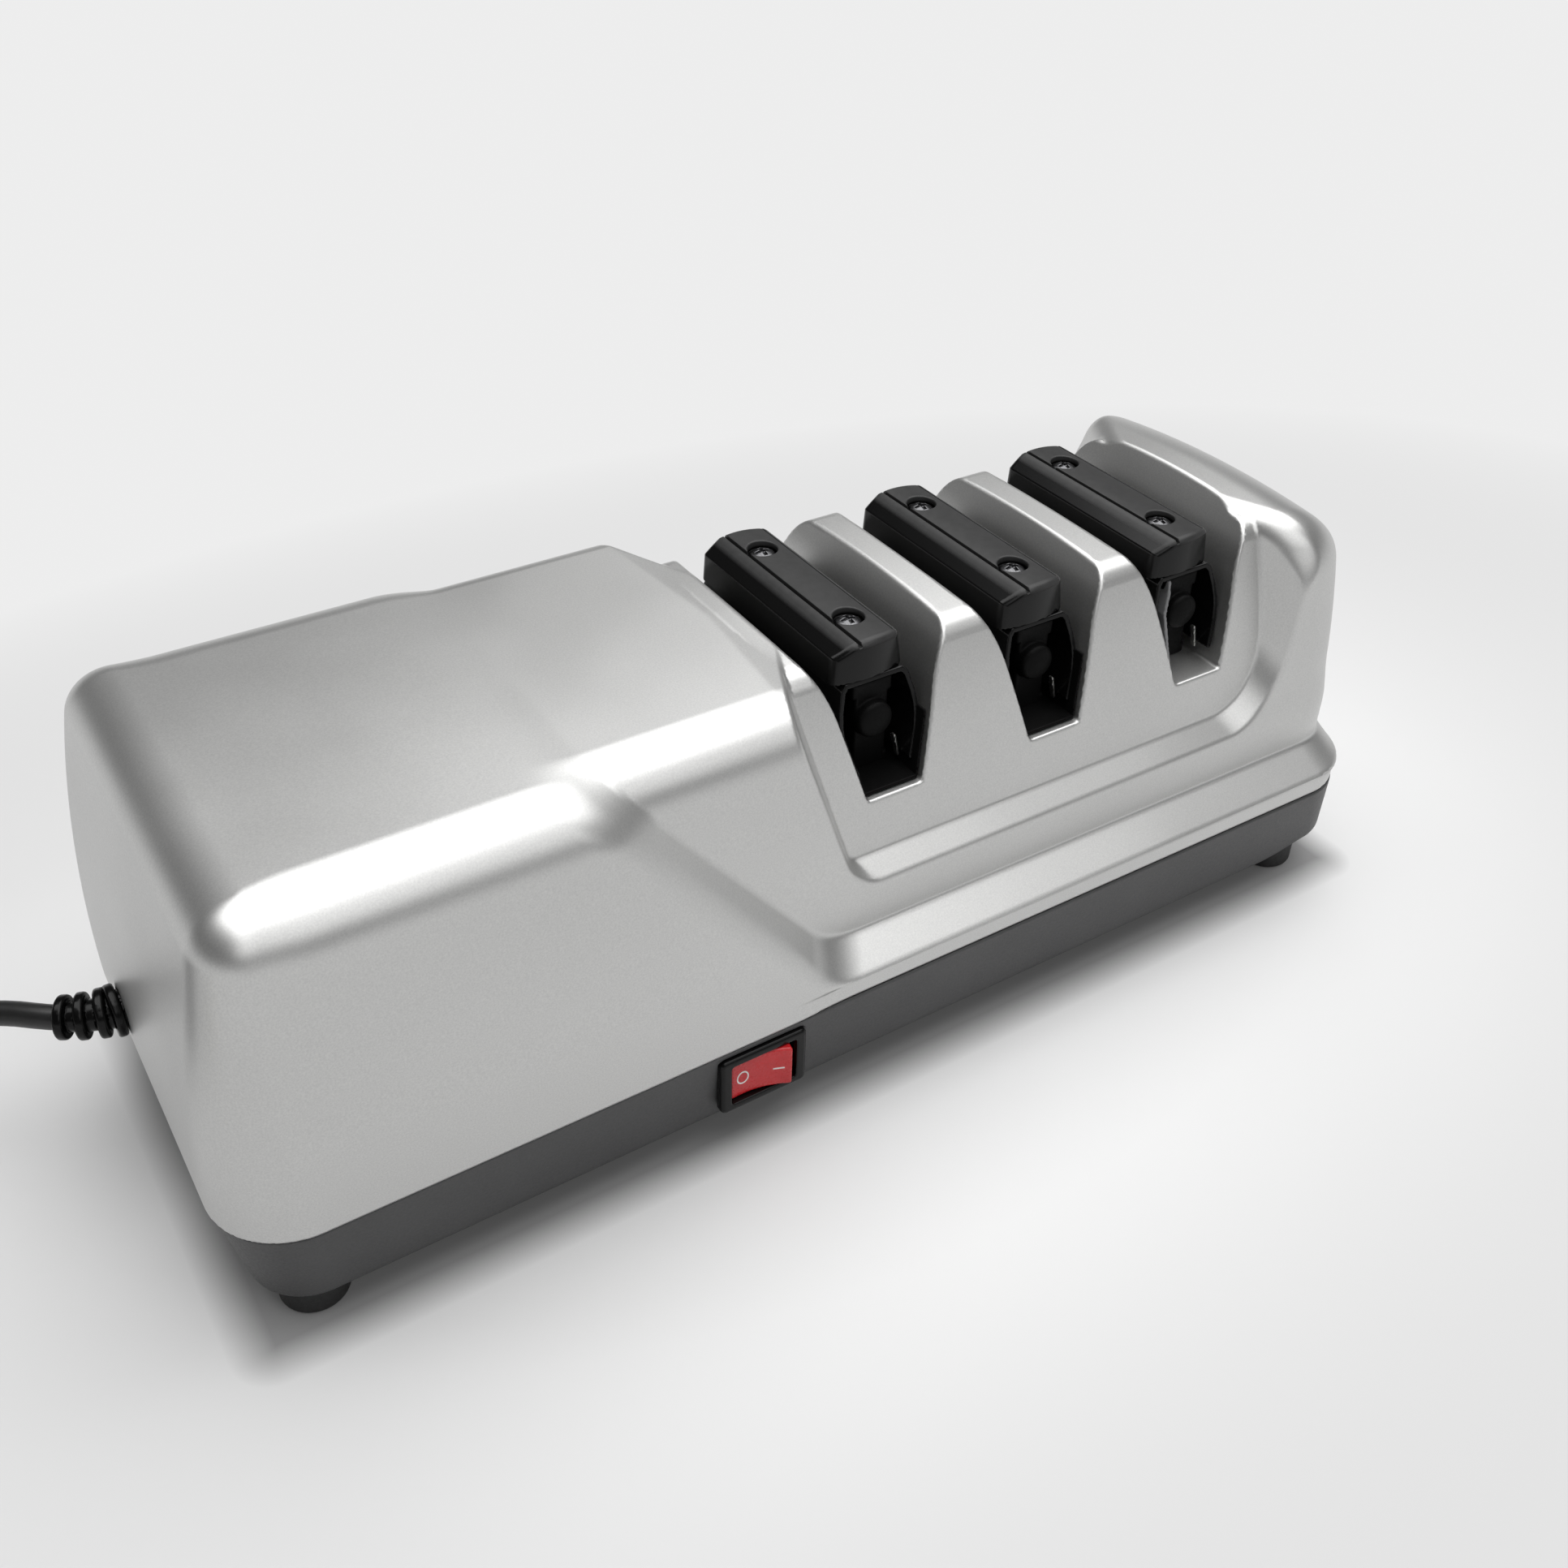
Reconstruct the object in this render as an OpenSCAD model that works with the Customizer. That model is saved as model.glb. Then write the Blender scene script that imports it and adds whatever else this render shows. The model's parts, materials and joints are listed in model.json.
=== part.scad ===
// Bench knife sharpener with three slotted stages on one motor-driven shaft.
// Millimetres. +X runs from the cord end to the grinding end, -Y is the front, +Z is up.
// The origin is the middle of the footprint on the table.

/* [Body] */
// Length from the cord end to the grinding end
body_len = 290; // [280:1:320]
// Width across the lower skin
body_wid = 105; // [102:1:120]
// Height of the end cheek's crown above the table
cheek_top = 100; // [99:0.5:104]
// Height of the motor block's flat top
block_top = 98.5; // [94:0.5:99]
// Height of the middle block's flat top
mid_top = 97.6; // [95:0.2:98]
// Height of the seam between base and housing
seam_z = 28.4; // [27:0.2:30]
// Plan radius of the seam's corners
corner_r = 17; // [14:1:20]
// Radius along the motor block's top edges
top_edge_r = 11; // [9:1:13]
// Radius along the cord end's top edge
end_edge_r = 8; // [7:0.5:9]
// Wall of the moulded housing
wall = 2.4; // [2:0.2:3]

/* [Slanted strip and flange] */
// Length of the motor block's flat top
block_len = 73.5; // [70:0.5:78]
// Sideways run of the strip for each millimetre of its drop
strip_lean = 0.82; // [0.75:0.01:0.9]
// Width of the strip seen from the front
strip_w = 8.4; // [7:0.2:10]
// Half width of the narrower core
core_hw = 44.4; // [43:0.2:46]
// Height of the flange's outer edge
flange_edge_z = 33.6; // [32:0.2:35]
// Height of the flange's inner crease
flange_crease_z = 39.2; // [37:0.2:41]

/* [Grinding stages] */
// Distance between two stages
stage_pitch = 43.5; // [42:0.5:46]
// Distance from the grinding end to the last stage
last_stage_inset = 51.2; // [50:0.5:54]
// Height of the notch floors
notch_floor_z = 66; // [65:0.5:68]
// Half width of a notch at its floor
notch_floor_hw = 7; // [6.6:0.2:7.4]
// Half width of a notch at its knee
notch_knee_hw = 13.3; // [12.8:0.1:13.8]
// Half width of a notch at its mouth
notch_mouth_hw = 18; // [17.4:0.2:18.6]
// Height of the fins between the notches
fin_top = 97.8; // [96:0.2:98]
// Height of the ledge's outer line
ledge_z = 50.4; // [49:0.2:52]
// Rise of the sloped ledge
ledge_rise = 4.6; // [4:0.2:6]
// Half depth of the panel at the ledge
panel_foot_hw = 39.8; // [39:0.2:41]
// Half depth of the panel at its top
panel_head_hw = 27.6; // [27:0.2:30]

/* [Guides] */
// Half width of a guide bar's flat top
bar_top_hw = 6.6; // [6:0.2:7]
// Half width of a guide bar at its foot
bar_foot_hw = 8.4; // [8:0.2:9]
// Width of the bevel along a bar's left side
bar_bevel = 3; // [2.4:0.2:3.4]
// Length of a guide bar
bar_len = 55; // [52:1:56]
// Height of a guide bar's top face
bar_top = 98.6; // [98:0.2:100]
// Thickness of a guide bar
bar_h = 9; // [8:0.5:9.5]
// Thickness of a guide spring's arms
guide_t = 1.2; // [1:0.1:1.4]
// Gap between a guide spring's arm and the notch wall
leaf_gap = 0.5; // [0.4:0.1:0.8]
// Half distance between a bar's screws
bar_screw_y = 16.8; // [15:0.2:18]

/* [Drive] */
// Height of the shaft above the table
shaft_z = 48; // [47:0.5:49]
// Shaft diameter
shaft_d = 8; // [7:0.5:8]
// Radial clearance of a shaft in its bush
bush_gap = 0.04; // [0.02:0.01:0.08]
// Radius of a grinding disk
disk_r = 25.5; // [24:0.1:25.5]
// Thickness of a disk's web
disk_t = 2.2; // [1.8:0.1:2.4]
// Distance from a stage's middle to a disk's rim
rim_x = 6.2; // [6:0.1:6.4]
// Radius of a disk's hub
hub_r = 9; // [8.5:0.1:9.2]
// Distance from a stage's middle to a hub's outer end
hub_x = 11.8; // [11.4:0.1:12.4]
// Inward travel of a disk
disk_travel = 1.5; // [1:0.1:1.6]
// Wire of a disk spring
spring_wire = 1.2; // [1:0.1:1.4]
// Diameter of the bushes
bush_d = 14; // [13:0.5:15]
// Length of a bush
bush_len = 8; // [7:0.5:10]

/* [Motor] */
// Distance from the cord end to the stator's middle
motor_inset = 47; // [46:0.5:50]
// Length of the laminated stack
stack_len = 28; // [24:1:30]
// Width of the laminated stack
stack_w = 64; // [62:1:66]
// Height of the laminated stack
stack_h = 58; // [56:1:58]
// Radius of the rotor
rotor_r = 18; // [17:0.5:18]
// Air gap between rotor and stack
air_gap = 0.5; // [0.4:0.1:0.8]
// Depth of a winding's overhang at each end of the stack
winding_overhang = 9; // [8:0.5:10]
// Radius of the cooling fan
fan_r = 26; // [24:0.5:27]
// Blades on the cooling fan
fan_blades = 9; // [7:1:12]

/* [Switch] */
// Distance from the left end to the switch's middle
switch_inset = 110.3; // [105:0.5:115]
// Height of the switch's middle
switch_z = 18.6; // [18:0.2:19]
// Width of the switch's frame
bezel_w = 21; // [20.5:0.1:21.5]
// Height of the switch's frame
bezel_h = 15; // [14.8:0.1:15.4]
// How far the frame stands proud of the base
bezel_proud = 2.2; // [1.6:0.1:2.6]
// Tilt of the rocker to each side of its middle
rocker_tilt = 11; // [9:0.5:12]

/* [Feet and fasteners] */
// Foot height
foot_h = 7; // [6:0.5:8]
// Foot diameter
foot_d = 14; // [12:0.5:15]
// Distance from the body's ends to the feet
foot_inset_x = 15; // [14:0.5:18]
// Distance from the body's sides to the feet
foot_inset_y = 12.5; // [12:0.5:14]
// Housing screw diameter
screw_d = 4; // [3.5:0.1:4.2]
// Guide and foot screw diameter
small_screw_d = 3; // [2.6:0.1:3.2]
// Radial clearance round a fixed screw
screw_gap = 0.05; // [0.02:0.01:0.1]

/* [Cord] */
// Diameter of the mains cord
cord_d = 5.2; // [4.8:0.1:5.6]
// Position of the cord outlet across the body
outlet_y = 16; // [10:1:22]
// Height of the cord outlet
outlet_z = 36; // [35:0.5:38]
// Ribs on the strain relief
relief_ribs = 3; // [3:1:5]
// Spacing of the ribs
rib_pitch = 3.7; // [3.5:0.1:4]
// Radius of the first rib
rib_r = 5.2; // [5:0.1:5.6]
// Loops in the coil
coil_loops = 5.25; // [3.25:1:6.25]
// Radius of the coil's middle line
coil_r = 30; // [28:1:33]
// Width of the plug
plug_w = 35; // [33:0.5:37]
// Rise of the coil for each loop
coil_pitch = 5.8; // [5.7:0.1:6.4]

/* [Hidden] */
$fn = 48;
far = 200;

// Body outline
x_left = -body_len / 2;
x_right = body_len / 2;
half_w = body_wid / 2;
block_draft = 2.6;
end_draft = 9.2;
cheek_inset = 2;

// Slanted strip: x of its outer and inner line at a given height
strip_top_x = x_left + block_len;
function strip_x(z, off) = strip_top_x + (block_top - z) * strip_lean + off;

// Stages
function stage_x(i) = x_right - last_stage_inset - (2 - i) * stage_pitch;
knee_z = 90;
notch_slope = (notch_knee_hw - notch_floor_hw) / (knee_z - notch_floor_z);
function notch_hw(z) = notch_floor_hw + (z - notch_floor_z) * notch_slope;
panel_z = ledge_z + ledge_rise;
cheek_x = stage_x(2) + notch_mouth_hw + 3.7;
shoulder_x = stage_x(0) - notch_mouth_hw - 9;

// Guides
bar_bottom = bar_top - bar_h;
groove_x = -3.9;
beam_top = bar_bottom - guide_t;
beam_h = 4;
frame_w = 10;
post_in = 22;
post_out = bar_len / 2 - 0.5;
slot_hl = 21;
slot_hw = rim_x + 2.1;

// Base
base_floor = 2.6;
floor_z = foot_h + base_floor;
base_lip = 0.5;
base_wall = 2.8;
base_draft = 3;

// Motor
motor_x = x_left + motor_inset;
shaft_r = shaft_d / 2;
bracket_t = 3;
bracket_gap = winding_overhang + 4;
bracket_l = motor_x - stack_len / 2 - bracket_gap;
bracket_r = motor_x + stack_len / 2 + bracket_gap;
bolt_y = stack_w / 2 - 5;
bolt_z = stack_h / 2 - 5;
motor_foot_z = shaft_z - stack_h / 2 - 2;
fan_w = 9;
block_w = 10;
block_foot_hw = 18;
block_foot_h = 5;
block_pad_h = 4;
block_screw_y = block_foot_hw - 4;

// What the fan and the middle block leave free between the motor and the first disk is shared out
// among the gaps and the coupling
fan_room_x = bracket_r + bush_len;
free_run = stage_x(0) - hub_x - fan_room_x - fan_w - block_w;
fan_x = fan_room_x + free_run * 0.04;
coupling_x = fan_x + fan_w + free_run * 0.08;
coupling_len = free_run * 0.46;
shaft_joint_x = coupling_x + coupling_len / 2;
block_mid_x = coupling_x + coupling_len + free_run * 0.06 + block_w / 2;
block_end_x = cheek_x + block_w - 0.5;
shaft_end_x = block_end_x + block_w / 2 + 1.5;

// Switch
switch_x = x_left + switch_inset;
pocket_y = -half_w + base_lip + 1.4;
bezel_y = pocket_y - bezel_proud;
pivot_y = bezel_y + 3.9;
rocker_w = 13.8;
rocker_h = 10.6;
switch_depth = 16;
switch_back_y = pocket_y - 1 + switch_depth;

// Cord. The route is chosen by hand from the relief's tip to the coil's first loop.
relief_bend = 8;
relief_neck_r = 4.2;
coil_mid = [-264, 34, cord_d / 2 + 0.1];
coil_steps = 24;
function coil_point(a) = coil_mid + [coil_r * cos(a), coil_r * sin(a), coil_pitch * (a - 90) / 360];
coil_line = [for (k = [0:coil_steps * coil_loops]) coil_point(90 + 360 * k / coil_steps)];
coil_start = coil_line[0] + [cord_d, 0, 0];
coil_end = coil_line[len(coil_line) - 1] + [0, -cord_d, 0];
plug_at = [-303, -31, 6.9];
cord_end_x = x_left + 8;
cord_route = concat([[cord_end_x, outlet_y, outlet_z], [x_left - 1, outlet_y, outlet_z]],
    [for (k = [1:relief_ribs]) relief_point(k)],
    [[-160, 22.5, 36], [-165, 27, 35.5], [-173, 33, 34], [-182, 38.5, 30.5], [-193, 44, 24.5],
     [-205, 49.5, 17], [-217, 54.5, 10], [-229, 59, 5.4], [-241, 62.3, 3.2], [-251, 63.8, 2.7]], [coil_start]);
tail_route = concat([coil_end],
    [[-294.4, 19, 33], [-296, 7, 28.6], [-298.6, -5, 20.8], [-301, -17, 12.4], [-302.4, -25.5, 8]], [plug_at]);

// Small helpers

module rounded_plate(l, w, r, h) {
    linear_extrude(h) union() {
        square([l - 2 * r, w], center = true);
        square([l, w - 2 * r], center = true);
        for (sx = [-1, 1], sy = [-1, 1])
            translate([sx * (l / 2 - r), sy * (w / 2 - r)]) circle(r);
    }
}

module x_rod(x0, x1, y, z, r) {
    translate([x0, y, z]) rotate([0, 90, 0]) cylinder(r = r, h = x1 - x0);
}

// Prism along Y from a profile in X and Z
module y_prism(y0, y1, pts) {
    translate([0, y1, 0]) rotate([90, 0, 0]) linear_extrude(y1 - y0) polygon(pts);
}

// Prism along X from a profile in Y and Z
module x_prism(x0, x1, pts) {
    translate([x0, 0, 0]) rotate([90, 0, 90]) linear_extrude(x1 - x0) polygon(pts);
}

function mirrored(half) = concat(
    half, [for (i = [len(half) - 1:-1:0]) if (half[i][0] > 0) [-half[i][0], half[i][1]]]);

// Tube swept along points, with its rings square to the path
function unit(v) = v / norm(v);
function path_dir(p, i) = unit(p[min(i + 1, len(p) - 1)] - p[max(i - 1, 0)]);
function side_of(t) = unit(cross(abs(t[2]) < 0.9 ? [0, 0, 1] : [1, 0, 0], t));
function ring_at(p, i, r, n) =
    let (t = path_dir(p, i), u = side_of(t), v = cross(t, u))
    [for (k = [0:n - 1]) p[i] + r * (cos(360 * k / n) * u + sin(360 * k / n) * v)];
module tube(p, r, n) {
    m = len(p);
    pts = [for (i = [0:m - 1]) each ring_at(p, i, r, n)];
    sides = [for (i = [0:m - 2], k = [0:n - 1]) let (k2 = (k + 1) % n)
        each [[i * n + k, (i + 1) * n + k, (i + 1) * n + k2], [i * n + k, (i + 1) * n + k2, i * n + k2]]];
    start = [for (k = [1:n - 2]) [0, k, k + 1]];
    end = [for (k = [1:n - 2]) [(m - 1) * n, (m - 1) * n + k + 1, (m - 1) * n + k]];
    polyhedron(pts, concat(sides, start, end));
}

// Smooth curve through the points of a route
function bend(a, b, c, d, t) =
    0.5 * (2 * b + (c - a) * t + (2 * a - 5 * b + 4 * c - d) * t * t + (3 * b - a - 3 * c + d) * t * t * t);
function smooth(p, n) = concat([for (i = [0:len(p) - 2], k = [0:n - 1])
    bend(p[max(i - 1, 0)], p[i], p[i + 1], p[min(i + 2, len(p) - 1)], k / n)], [p[len(p) - 1]]);

// Middle line of the relief, which bends a little with every rib
function relief_point(i) = i == 0 ? [x_left - 1, outlet_y, outlet_z]
    : relief_point(i - 1) + rib_pitch * [-cos(relief_bend * (i + 0.5)), sin(relief_bend * (i + 0.5)), 0];

// Housing forms

// Skin of the motor end, cut off by the slanted strip
module motor_form() {
    intersection() {
        hull() {
            for (sy = [-1, 1]) {
                translate([x_left + corner_r, sy * (half_w - corner_r), seam_z]) cylinder(r = corner_r, h = 0.2);
                translate([strip_x(seam_z, strip_w), sy * (half_w - 2), seam_z]) cylinder(r = 2, h = 0.2);
                translate([x_left + end_draft + end_edge_r, sy * (half_w - block_draft - end_edge_r),
                    block_top - end_edge_r]) sphere(end_edge_r);
                translate([strip_top_x + strip_w, sy * (half_w - block_draft - top_edge_r),
                    block_top - top_edge_r]) sphere(top_edge_r);
            }
        }
        hull() {
            y_prism(-half_w - 1, half_w + 1, [[x_left - 1, seam_z - 1], [strip_x(seam_z, -1.5), seam_z - 1],
                [strip_x(block_top + 1, -1.5), block_top + 1], [x_left - 1, block_top + 1]]);
            y_prism(-core_hw, core_hw, [[x_left - 1, seam_z - 1], [strip_x(seam_z, strip_w), seam_z - 1],
                [strip_x(mid_top - 0.2, strip_w), mid_top - 0.2], [x_left - 1, mid_top - 0.2]]);
        }
    }
}

// Low flange that carries the skin on round the grinding end
module flange_form() {
    flange_mid = (strip_top_x + x_right) / 2;
    flange_len = x_right - strip_top_x;
    hull() {
        translate([flange_mid, 0, seam_z])
            rounded_plate(flange_len, body_wid, corner_r, flange_edge_z - seam_z);
        translate([flange_mid - 3.5, 0, seam_z])
            rounded_plate(flange_len - 7, 2 * core_hw - 1, corner_r - 7, flange_crease_z - seam_z);
    }
}

// Middle block between the strip and the first notch
module mid_form() {
    edge_r = 8;
    hull() {
        translate([strip_top_x, -core_hw, seam_z])
            cube([stage_x(0) - 12 - strip_top_x, 2 * core_hw, ledge_z - seam_z]);
        for (sy = [-1, 1])
            x_rod(strip_top_x, shoulder_x, sy * (core_hw - 1.2 - edge_r), mid_top - edge_r, edge_r);
        translate([strip_top_x, -panel_head_hw + 1.5, mid_top - 6])
            cube([stage_x(0) - notch_mouth_hw - 0.5 - strip_top_x, 2 * panel_head_hw - 3, 5]);
    }
}

// Cross-section of the grinding zone: front band, ledge, leaning panel and crowned top
stage_section = [
    [core_hw, seam_z], [core_hw - 0.4, ledge_z], [panel_foot_hw, panel_z],
    [panel_head_hw + 1.3, fin_top - 4.8], [panel_head_hw + 0.3, fin_top - 2.4], [panel_head_hw - 1.6, fin_top - 1],
    [panel_head_hw - 5, fin_top - 0.4], [12, fin_top - 0.05], [0, fin_top]
];
module stage_form() {
    x_prism(shoulder_x - 6, cheek_x + 8, mirrored(stage_section));
}

// Cross-section of the end cheek, drawn in by an inset and lowered at its inner side
function cheek_section(inset, drop) = [
    [core_hw - inset, seam_z], [core_hw - inset, ledge_z + 4], [core_hw - 0.9 - inset, 72],
    [core_hw - 2.6 - inset, cheek_top - 15 - inset * 0.8], [core_hw - 5.4 - inset, cheek_top - 8.4 - inset * 0.9],
    [core_hw - 9.4 - inset, cheek_top - 4.4 - inset], [core_hw - 16 - inset, cheek_top - 1.9 - inset - drop],
    [max(14 - inset, 2), cheek_top - 0.4 - inset - drop], [0, cheek_top - inset - drop]
];
module cheek_form() {
    hull() {
        x_prism(cheek_x, cheek_x + 0.2, mirrored([[panel_foot_hw - 1, seam_z], [panel_foot_hw - 1, panel_z + 1],
            [panel_head_hw + 0.6, fin_top - 3], [panel_head_hw - 3, fin_top - 0.2], [0, fin_top + 0.4]]));
        x_prism(cheek_x + 3.5, cheek_x + 3.8, mirrored(cheek_section(0.3, 0.9)));
        for (a = [0:15:90])
            let (x = x_right - cheek_inset - 16 * (1 - sin(a)))
            x_prism(x - 0.2, x, mirrored(cheek_section(16 * (1 - cos(a)), 0)));
    }
}

// A notch's profile across X, widened by a skin for its walls
function notch_profile(i, skin) =
    let (x = stage_x(i), w = skin * 1.04, f = notch_floor_z - skin)
    [[x - notch_hw(f) - w, f], [x + notch_hw(f) + w, f], [x + notch_knee_hw + w, knee_z],
     [x + notch_mouth_hw - 1 + w, fin_top - 1], [x + notch_mouth_hw + w, fin_top + 1.6], [x + notch_mouth_hw + w, 120],
     [x - notch_mouth_hw - w, 120], [x - notch_mouth_hw - w, fin_top + 1.6], [x - notch_mouth_hw + 1 - w, fin_top - 1],
     [x - notch_knee_hw - w, knee_z]];

module outer_form() {
    motor_form();
    flange_form();
    mid_form();
    stage_form();
    cheek_form();
}

module inner_form() {
    // Motor room, following the leaning walls and the slanted strip
    room_top = block_top - top_edge_r;
    intersection() {
        translate([0, 0, seam_z - 1])
            rounded_plate(body_len - 2 * wall - 1.4, body_wid - 2 * wall - 1.2, corner_r - wall, room_top - seam_z);
        y_prism(-far, far, [[x_left, 0], [strip_x(0, -6), 0], [strip_x(120, -6), 120],
            [x_left + end_draft + wall + 1, 120], [x_left + end_draft + wall + 0.4, room_top], [x_left + wall, seam_z]]);
        x_prism(x_left, x_right, mirrored([[half_w - wall - 0.6, 0], [half_w - wall - 0.6, seam_z],
            [half_w - block_draft - wall - 0.6, room_top], [half_w - block_draft - wall - 2, 120]]));
    }
    translate([x_left + end_draft + end_edge_r - 1, -(half_w - top_edge_r - 3), seam_z])
        cube([block_len - end_draft - end_edge_r - 3, body_wid - 2 * top_edge_r - 6, block_top - wall - seam_z]);
    // Flange room
    translate([0, 0, seam_z - 1])
        rounded_plate(body_len - 2 * wall - 1.4, body_wid - 2 * wall - 1.2, corner_r - wall, flange_edge_z - seam_z - 1);
    // Middle room, stage rooms and cheek room
    x_prism(strip_top_x - 10, shoulder_x + 4, mirrored([[core_hw - wall, seam_z - 1], [core_hw - wall - 1.2, mid_top - 12],
        [core_hw - 10, mid_top - wall - 1], [0, mid_top - wall - 1]]));
    x_prism(shoulder_x, cheek_x + 5, mirrored([[core_hw - wall, seam_z - 1], [core_hw - wall - 0.4, ledge_z - 1],
        [panel_foot_hw - wall, panel_z - 1], [panel_head_hw - wall + 0.8, fin_top - 6], [0, fin_top - wall - 1]]));
    x_prism(cheek_x, x_right - cheek_inset - 8, mirrored([[core_hw - 10, seam_z - 1], [core_hw - 12, 72],
        [panel_head_hw - wall + 0.8, fin_top - 8], [0, fin_top - wall - 1]]));
}

// Screw places: x, distance from the middle and reach of the web to the wall
boss_at = [[x_left + 22, half_w - 11, 9], [x_right - 26, core_hw - 5.5, 3.5]];
boss_r = screw_d / 2 + 2.2;
module boss_places() {
    for (b = boss_at, sy = [-1, 1])
        translate([b[0], sy * b[1], 0]) children();
}
module bosses() {
    boss_places() translate([0, 0, seam_z]) cylinder(r = boss_r, h = 30);
    for (b = boss_at, sy = [-1, 1])
        translate([b[0] - 1.2, sy > 0 ? b[1] : -b[1] - b[2], seam_z]) cube([2.4, b[2], 30]);
}

module upper_housing() {
    color([0.72, 0.72, 0.71]) difference() {
        union() {
            difference() {
                outer_form();
                inner_form();
            }
            // Notch walls and floors
            intersection() {
                x_prism(shoulder_x - 6, cheek_x + 8, mirrored(stage_section));
                for (i = [0:2]) y_prism(-far, far, notch_profile(i, wall));
            }
            // Screw bosses
            bosses();
        }
        for (i = [0:2]) {
            y_prism(-far, far, notch_profile(i, 0));
            // Slot in the notch floor for the disks
            translate([stage_x(i) - slot_hw, -slot_hl, notch_floor_z - 8]) cube([2 * slot_hw, 2 * slot_hl, 14]);
            // Sockets for the frame's pegs
            for (sy = [-1, 1])
                translate([stage_x(i), sy * (post_in + post_out) / 2, notch_floor_z - 6])
                    cylinder(r = 1.5 + screw_gap, h = 10, $fn = 24);
        }
        boss_places() translate([0, 0, seam_z - 1]) cylinder(r = screw_d / 2 + screw_gap, h = 21, $fn = 24);
        // Cord outlet
        x_rod(x_left - 5, x_left + 12, outlet_y, outlet_z, relief_neck_r + screw_gap);
    }
}

// Base tray with its posts, pads, tubes and the switch's cut-out

module base_shell() {
    difference() {
        hull() {
            translate([0, 0, seam_z - 0.2]) rounded_plate(body_len - 2 * base_lip, body_wid - 2 * base_lip, corner_r - 0.5, 0.2);
            translate([-0.5, 0, foot_h + 4]) rounded_plate(body_len - 7, body_wid - 2 * base_draft, corner_r - 2, 0.2);
            translate([-1.5, 0, foot_h]) rounded_plate(body_len - 14, body_wid - 2 * base_draft - 3, corner_r - 4, 0.2);
        }
        translate([-1, 0, floor_z])
            rounded_plate(body_len - 16, body_wid - 2 * base_draft - 2 * base_wall + 0.6, corner_r - 6, far);
    }
}

module foot_places() {
    for (sx = [-1, 1], sy = [-1, 1])
        translate([sx * (body_len / 2 - foot_inset_x), sy * (half_w - foot_inset_y), 0]) children();
}

module base_tray() {
    color([0.29, 0.29, 0.29]) difference() {
        union() {
            base_shell();
            // Tubes under the housing's bosses
            boss_places() translate([0, 0, floor_z - 1]) cylinder(r = boss_r, h = seam_z - floor_z + 1);
            // Posts over the feet
            foot_places() translate([0, 0, floor_z - 1]) cylinder(r = small_screw_d / 2 + 2, h = 7);
            // Pads under the motor's brackets
            for (x = [bracket_l - 6, bracket_r + bracket_t + 6], sy = [-1, 1])
                translate([x - 6, sy * bolt_y - 6, floor_z - 1]) cube([12, 12, motor_foot_z - floor_z + 1]);
            // Pads under the bearing blocks
            for (x = [block_mid_x, block_end_x])
                translate([x - block_w / 2, -block_foot_hw, floor_z - 1]) cube([block_w, 2 * block_foot_hw, block_pad_h + 1]);
        }
        boss_places() {
            translate([0, 0, foot_h - 1]) cylinder(r = screw_d / 2 + screw_gap, h = far, $fn = 24);
            translate([0, 0, foot_h - 1]) cylinder(r = screw_d + 0.2, h = 3.4, $fn = 32);
        }
        foot_places() translate([0, 0, foot_h - 1])
            cylinder(r = small_screw_d / 2 + screw_gap, h = 7.4, $fn = 24);
        for (x = [bracket_l - 6, bracket_r + bracket_t + 6], sy = [-1, 1])
            translate([x, sy * bolt_y, floor_z + 0.4]) cylinder(r = small_screw_d / 2 + screw_gap, h = far, $fn = 24);
        for (x = [block_mid_x, block_end_x], sy = [-1, 1])
            translate([x, sy * block_screw_y, foot_h + 1]) cylinder(r = small_screw_d / 2 + screw_gap, h = far, $fn = 24);
        // Air slots under the motor
        for (k = [-3:3])
            translate([motor_x + k * 7 - 1.2, -18, foot_h - 1]) cube([2.4, 36, 5]);
        // Cut-out and flat pocket for the switch
        translate([switch_x - 9.5, -half_w - 1, switch_z - 6.5]) cube([19, 12, 13]);
        translate([switch_x - bezel_w / 2 - 0.2, -half_w - 1, switch_z - bezel_h / 2 - 0.2])
            cube([bezel_w + 0.4, 1 + half_w + pocket_y, bezel_h + 0.4]);
    }
}

module feet() {
    color([0.06, 0.06, 0.06]) foot_places() difference() {
        union() {
            translate([0, 0, 1]) cylinder(r = foot_d / 2, h = foot_h - 1);
            cylinder(r1 = foot_d / 2 - 1, r2 = foot_d / 2, h = 1);
        }
        translate([0, 0, -1]) cylinder(r = small_screw_d + 0.3, h = 4);
        translate([0, 0, -1]) cylinder(r = small_screw_d / 2 + screw_gap, h = far, $fn = 24);
    }
}

module foot_screws() {
    color([0.75, 0.75, 0.75]) foot_places() {
        translate([0, 0, 3 - 0.9]) difference() {
            cylinder(r = small_screw_d - 0.1, h = 0.9);
            translate([-small_screw_d, -0.4, -0.5]) cube([2 * small_screw_d, 0.8, 0.9]);
        }
        translate([0, 0, 2.9]) cylinder(r = small_screw_d / 2, h = foot_h + 2, $fn = 24);
    }
}

module housing_screws() {
    color([0.75, 0.75, 0.75]) boss_places() {
        translate([0, 0, foot_h + 0.2]) difference() {
            cylinder(r = screw_d - 0.1, h = 2.2, $fn = 32);
            translate([-screw_d, -0.5, -0.5]) cube([2 * screw_d, 1, 1.5]);
        }
        translate([0, 0, foot_h + 1.5]) cylinder(r = screw_d / 2, h = seam_z - foot_h + 16, $fn = 24);
    }
}

// Guides in one notch

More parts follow.
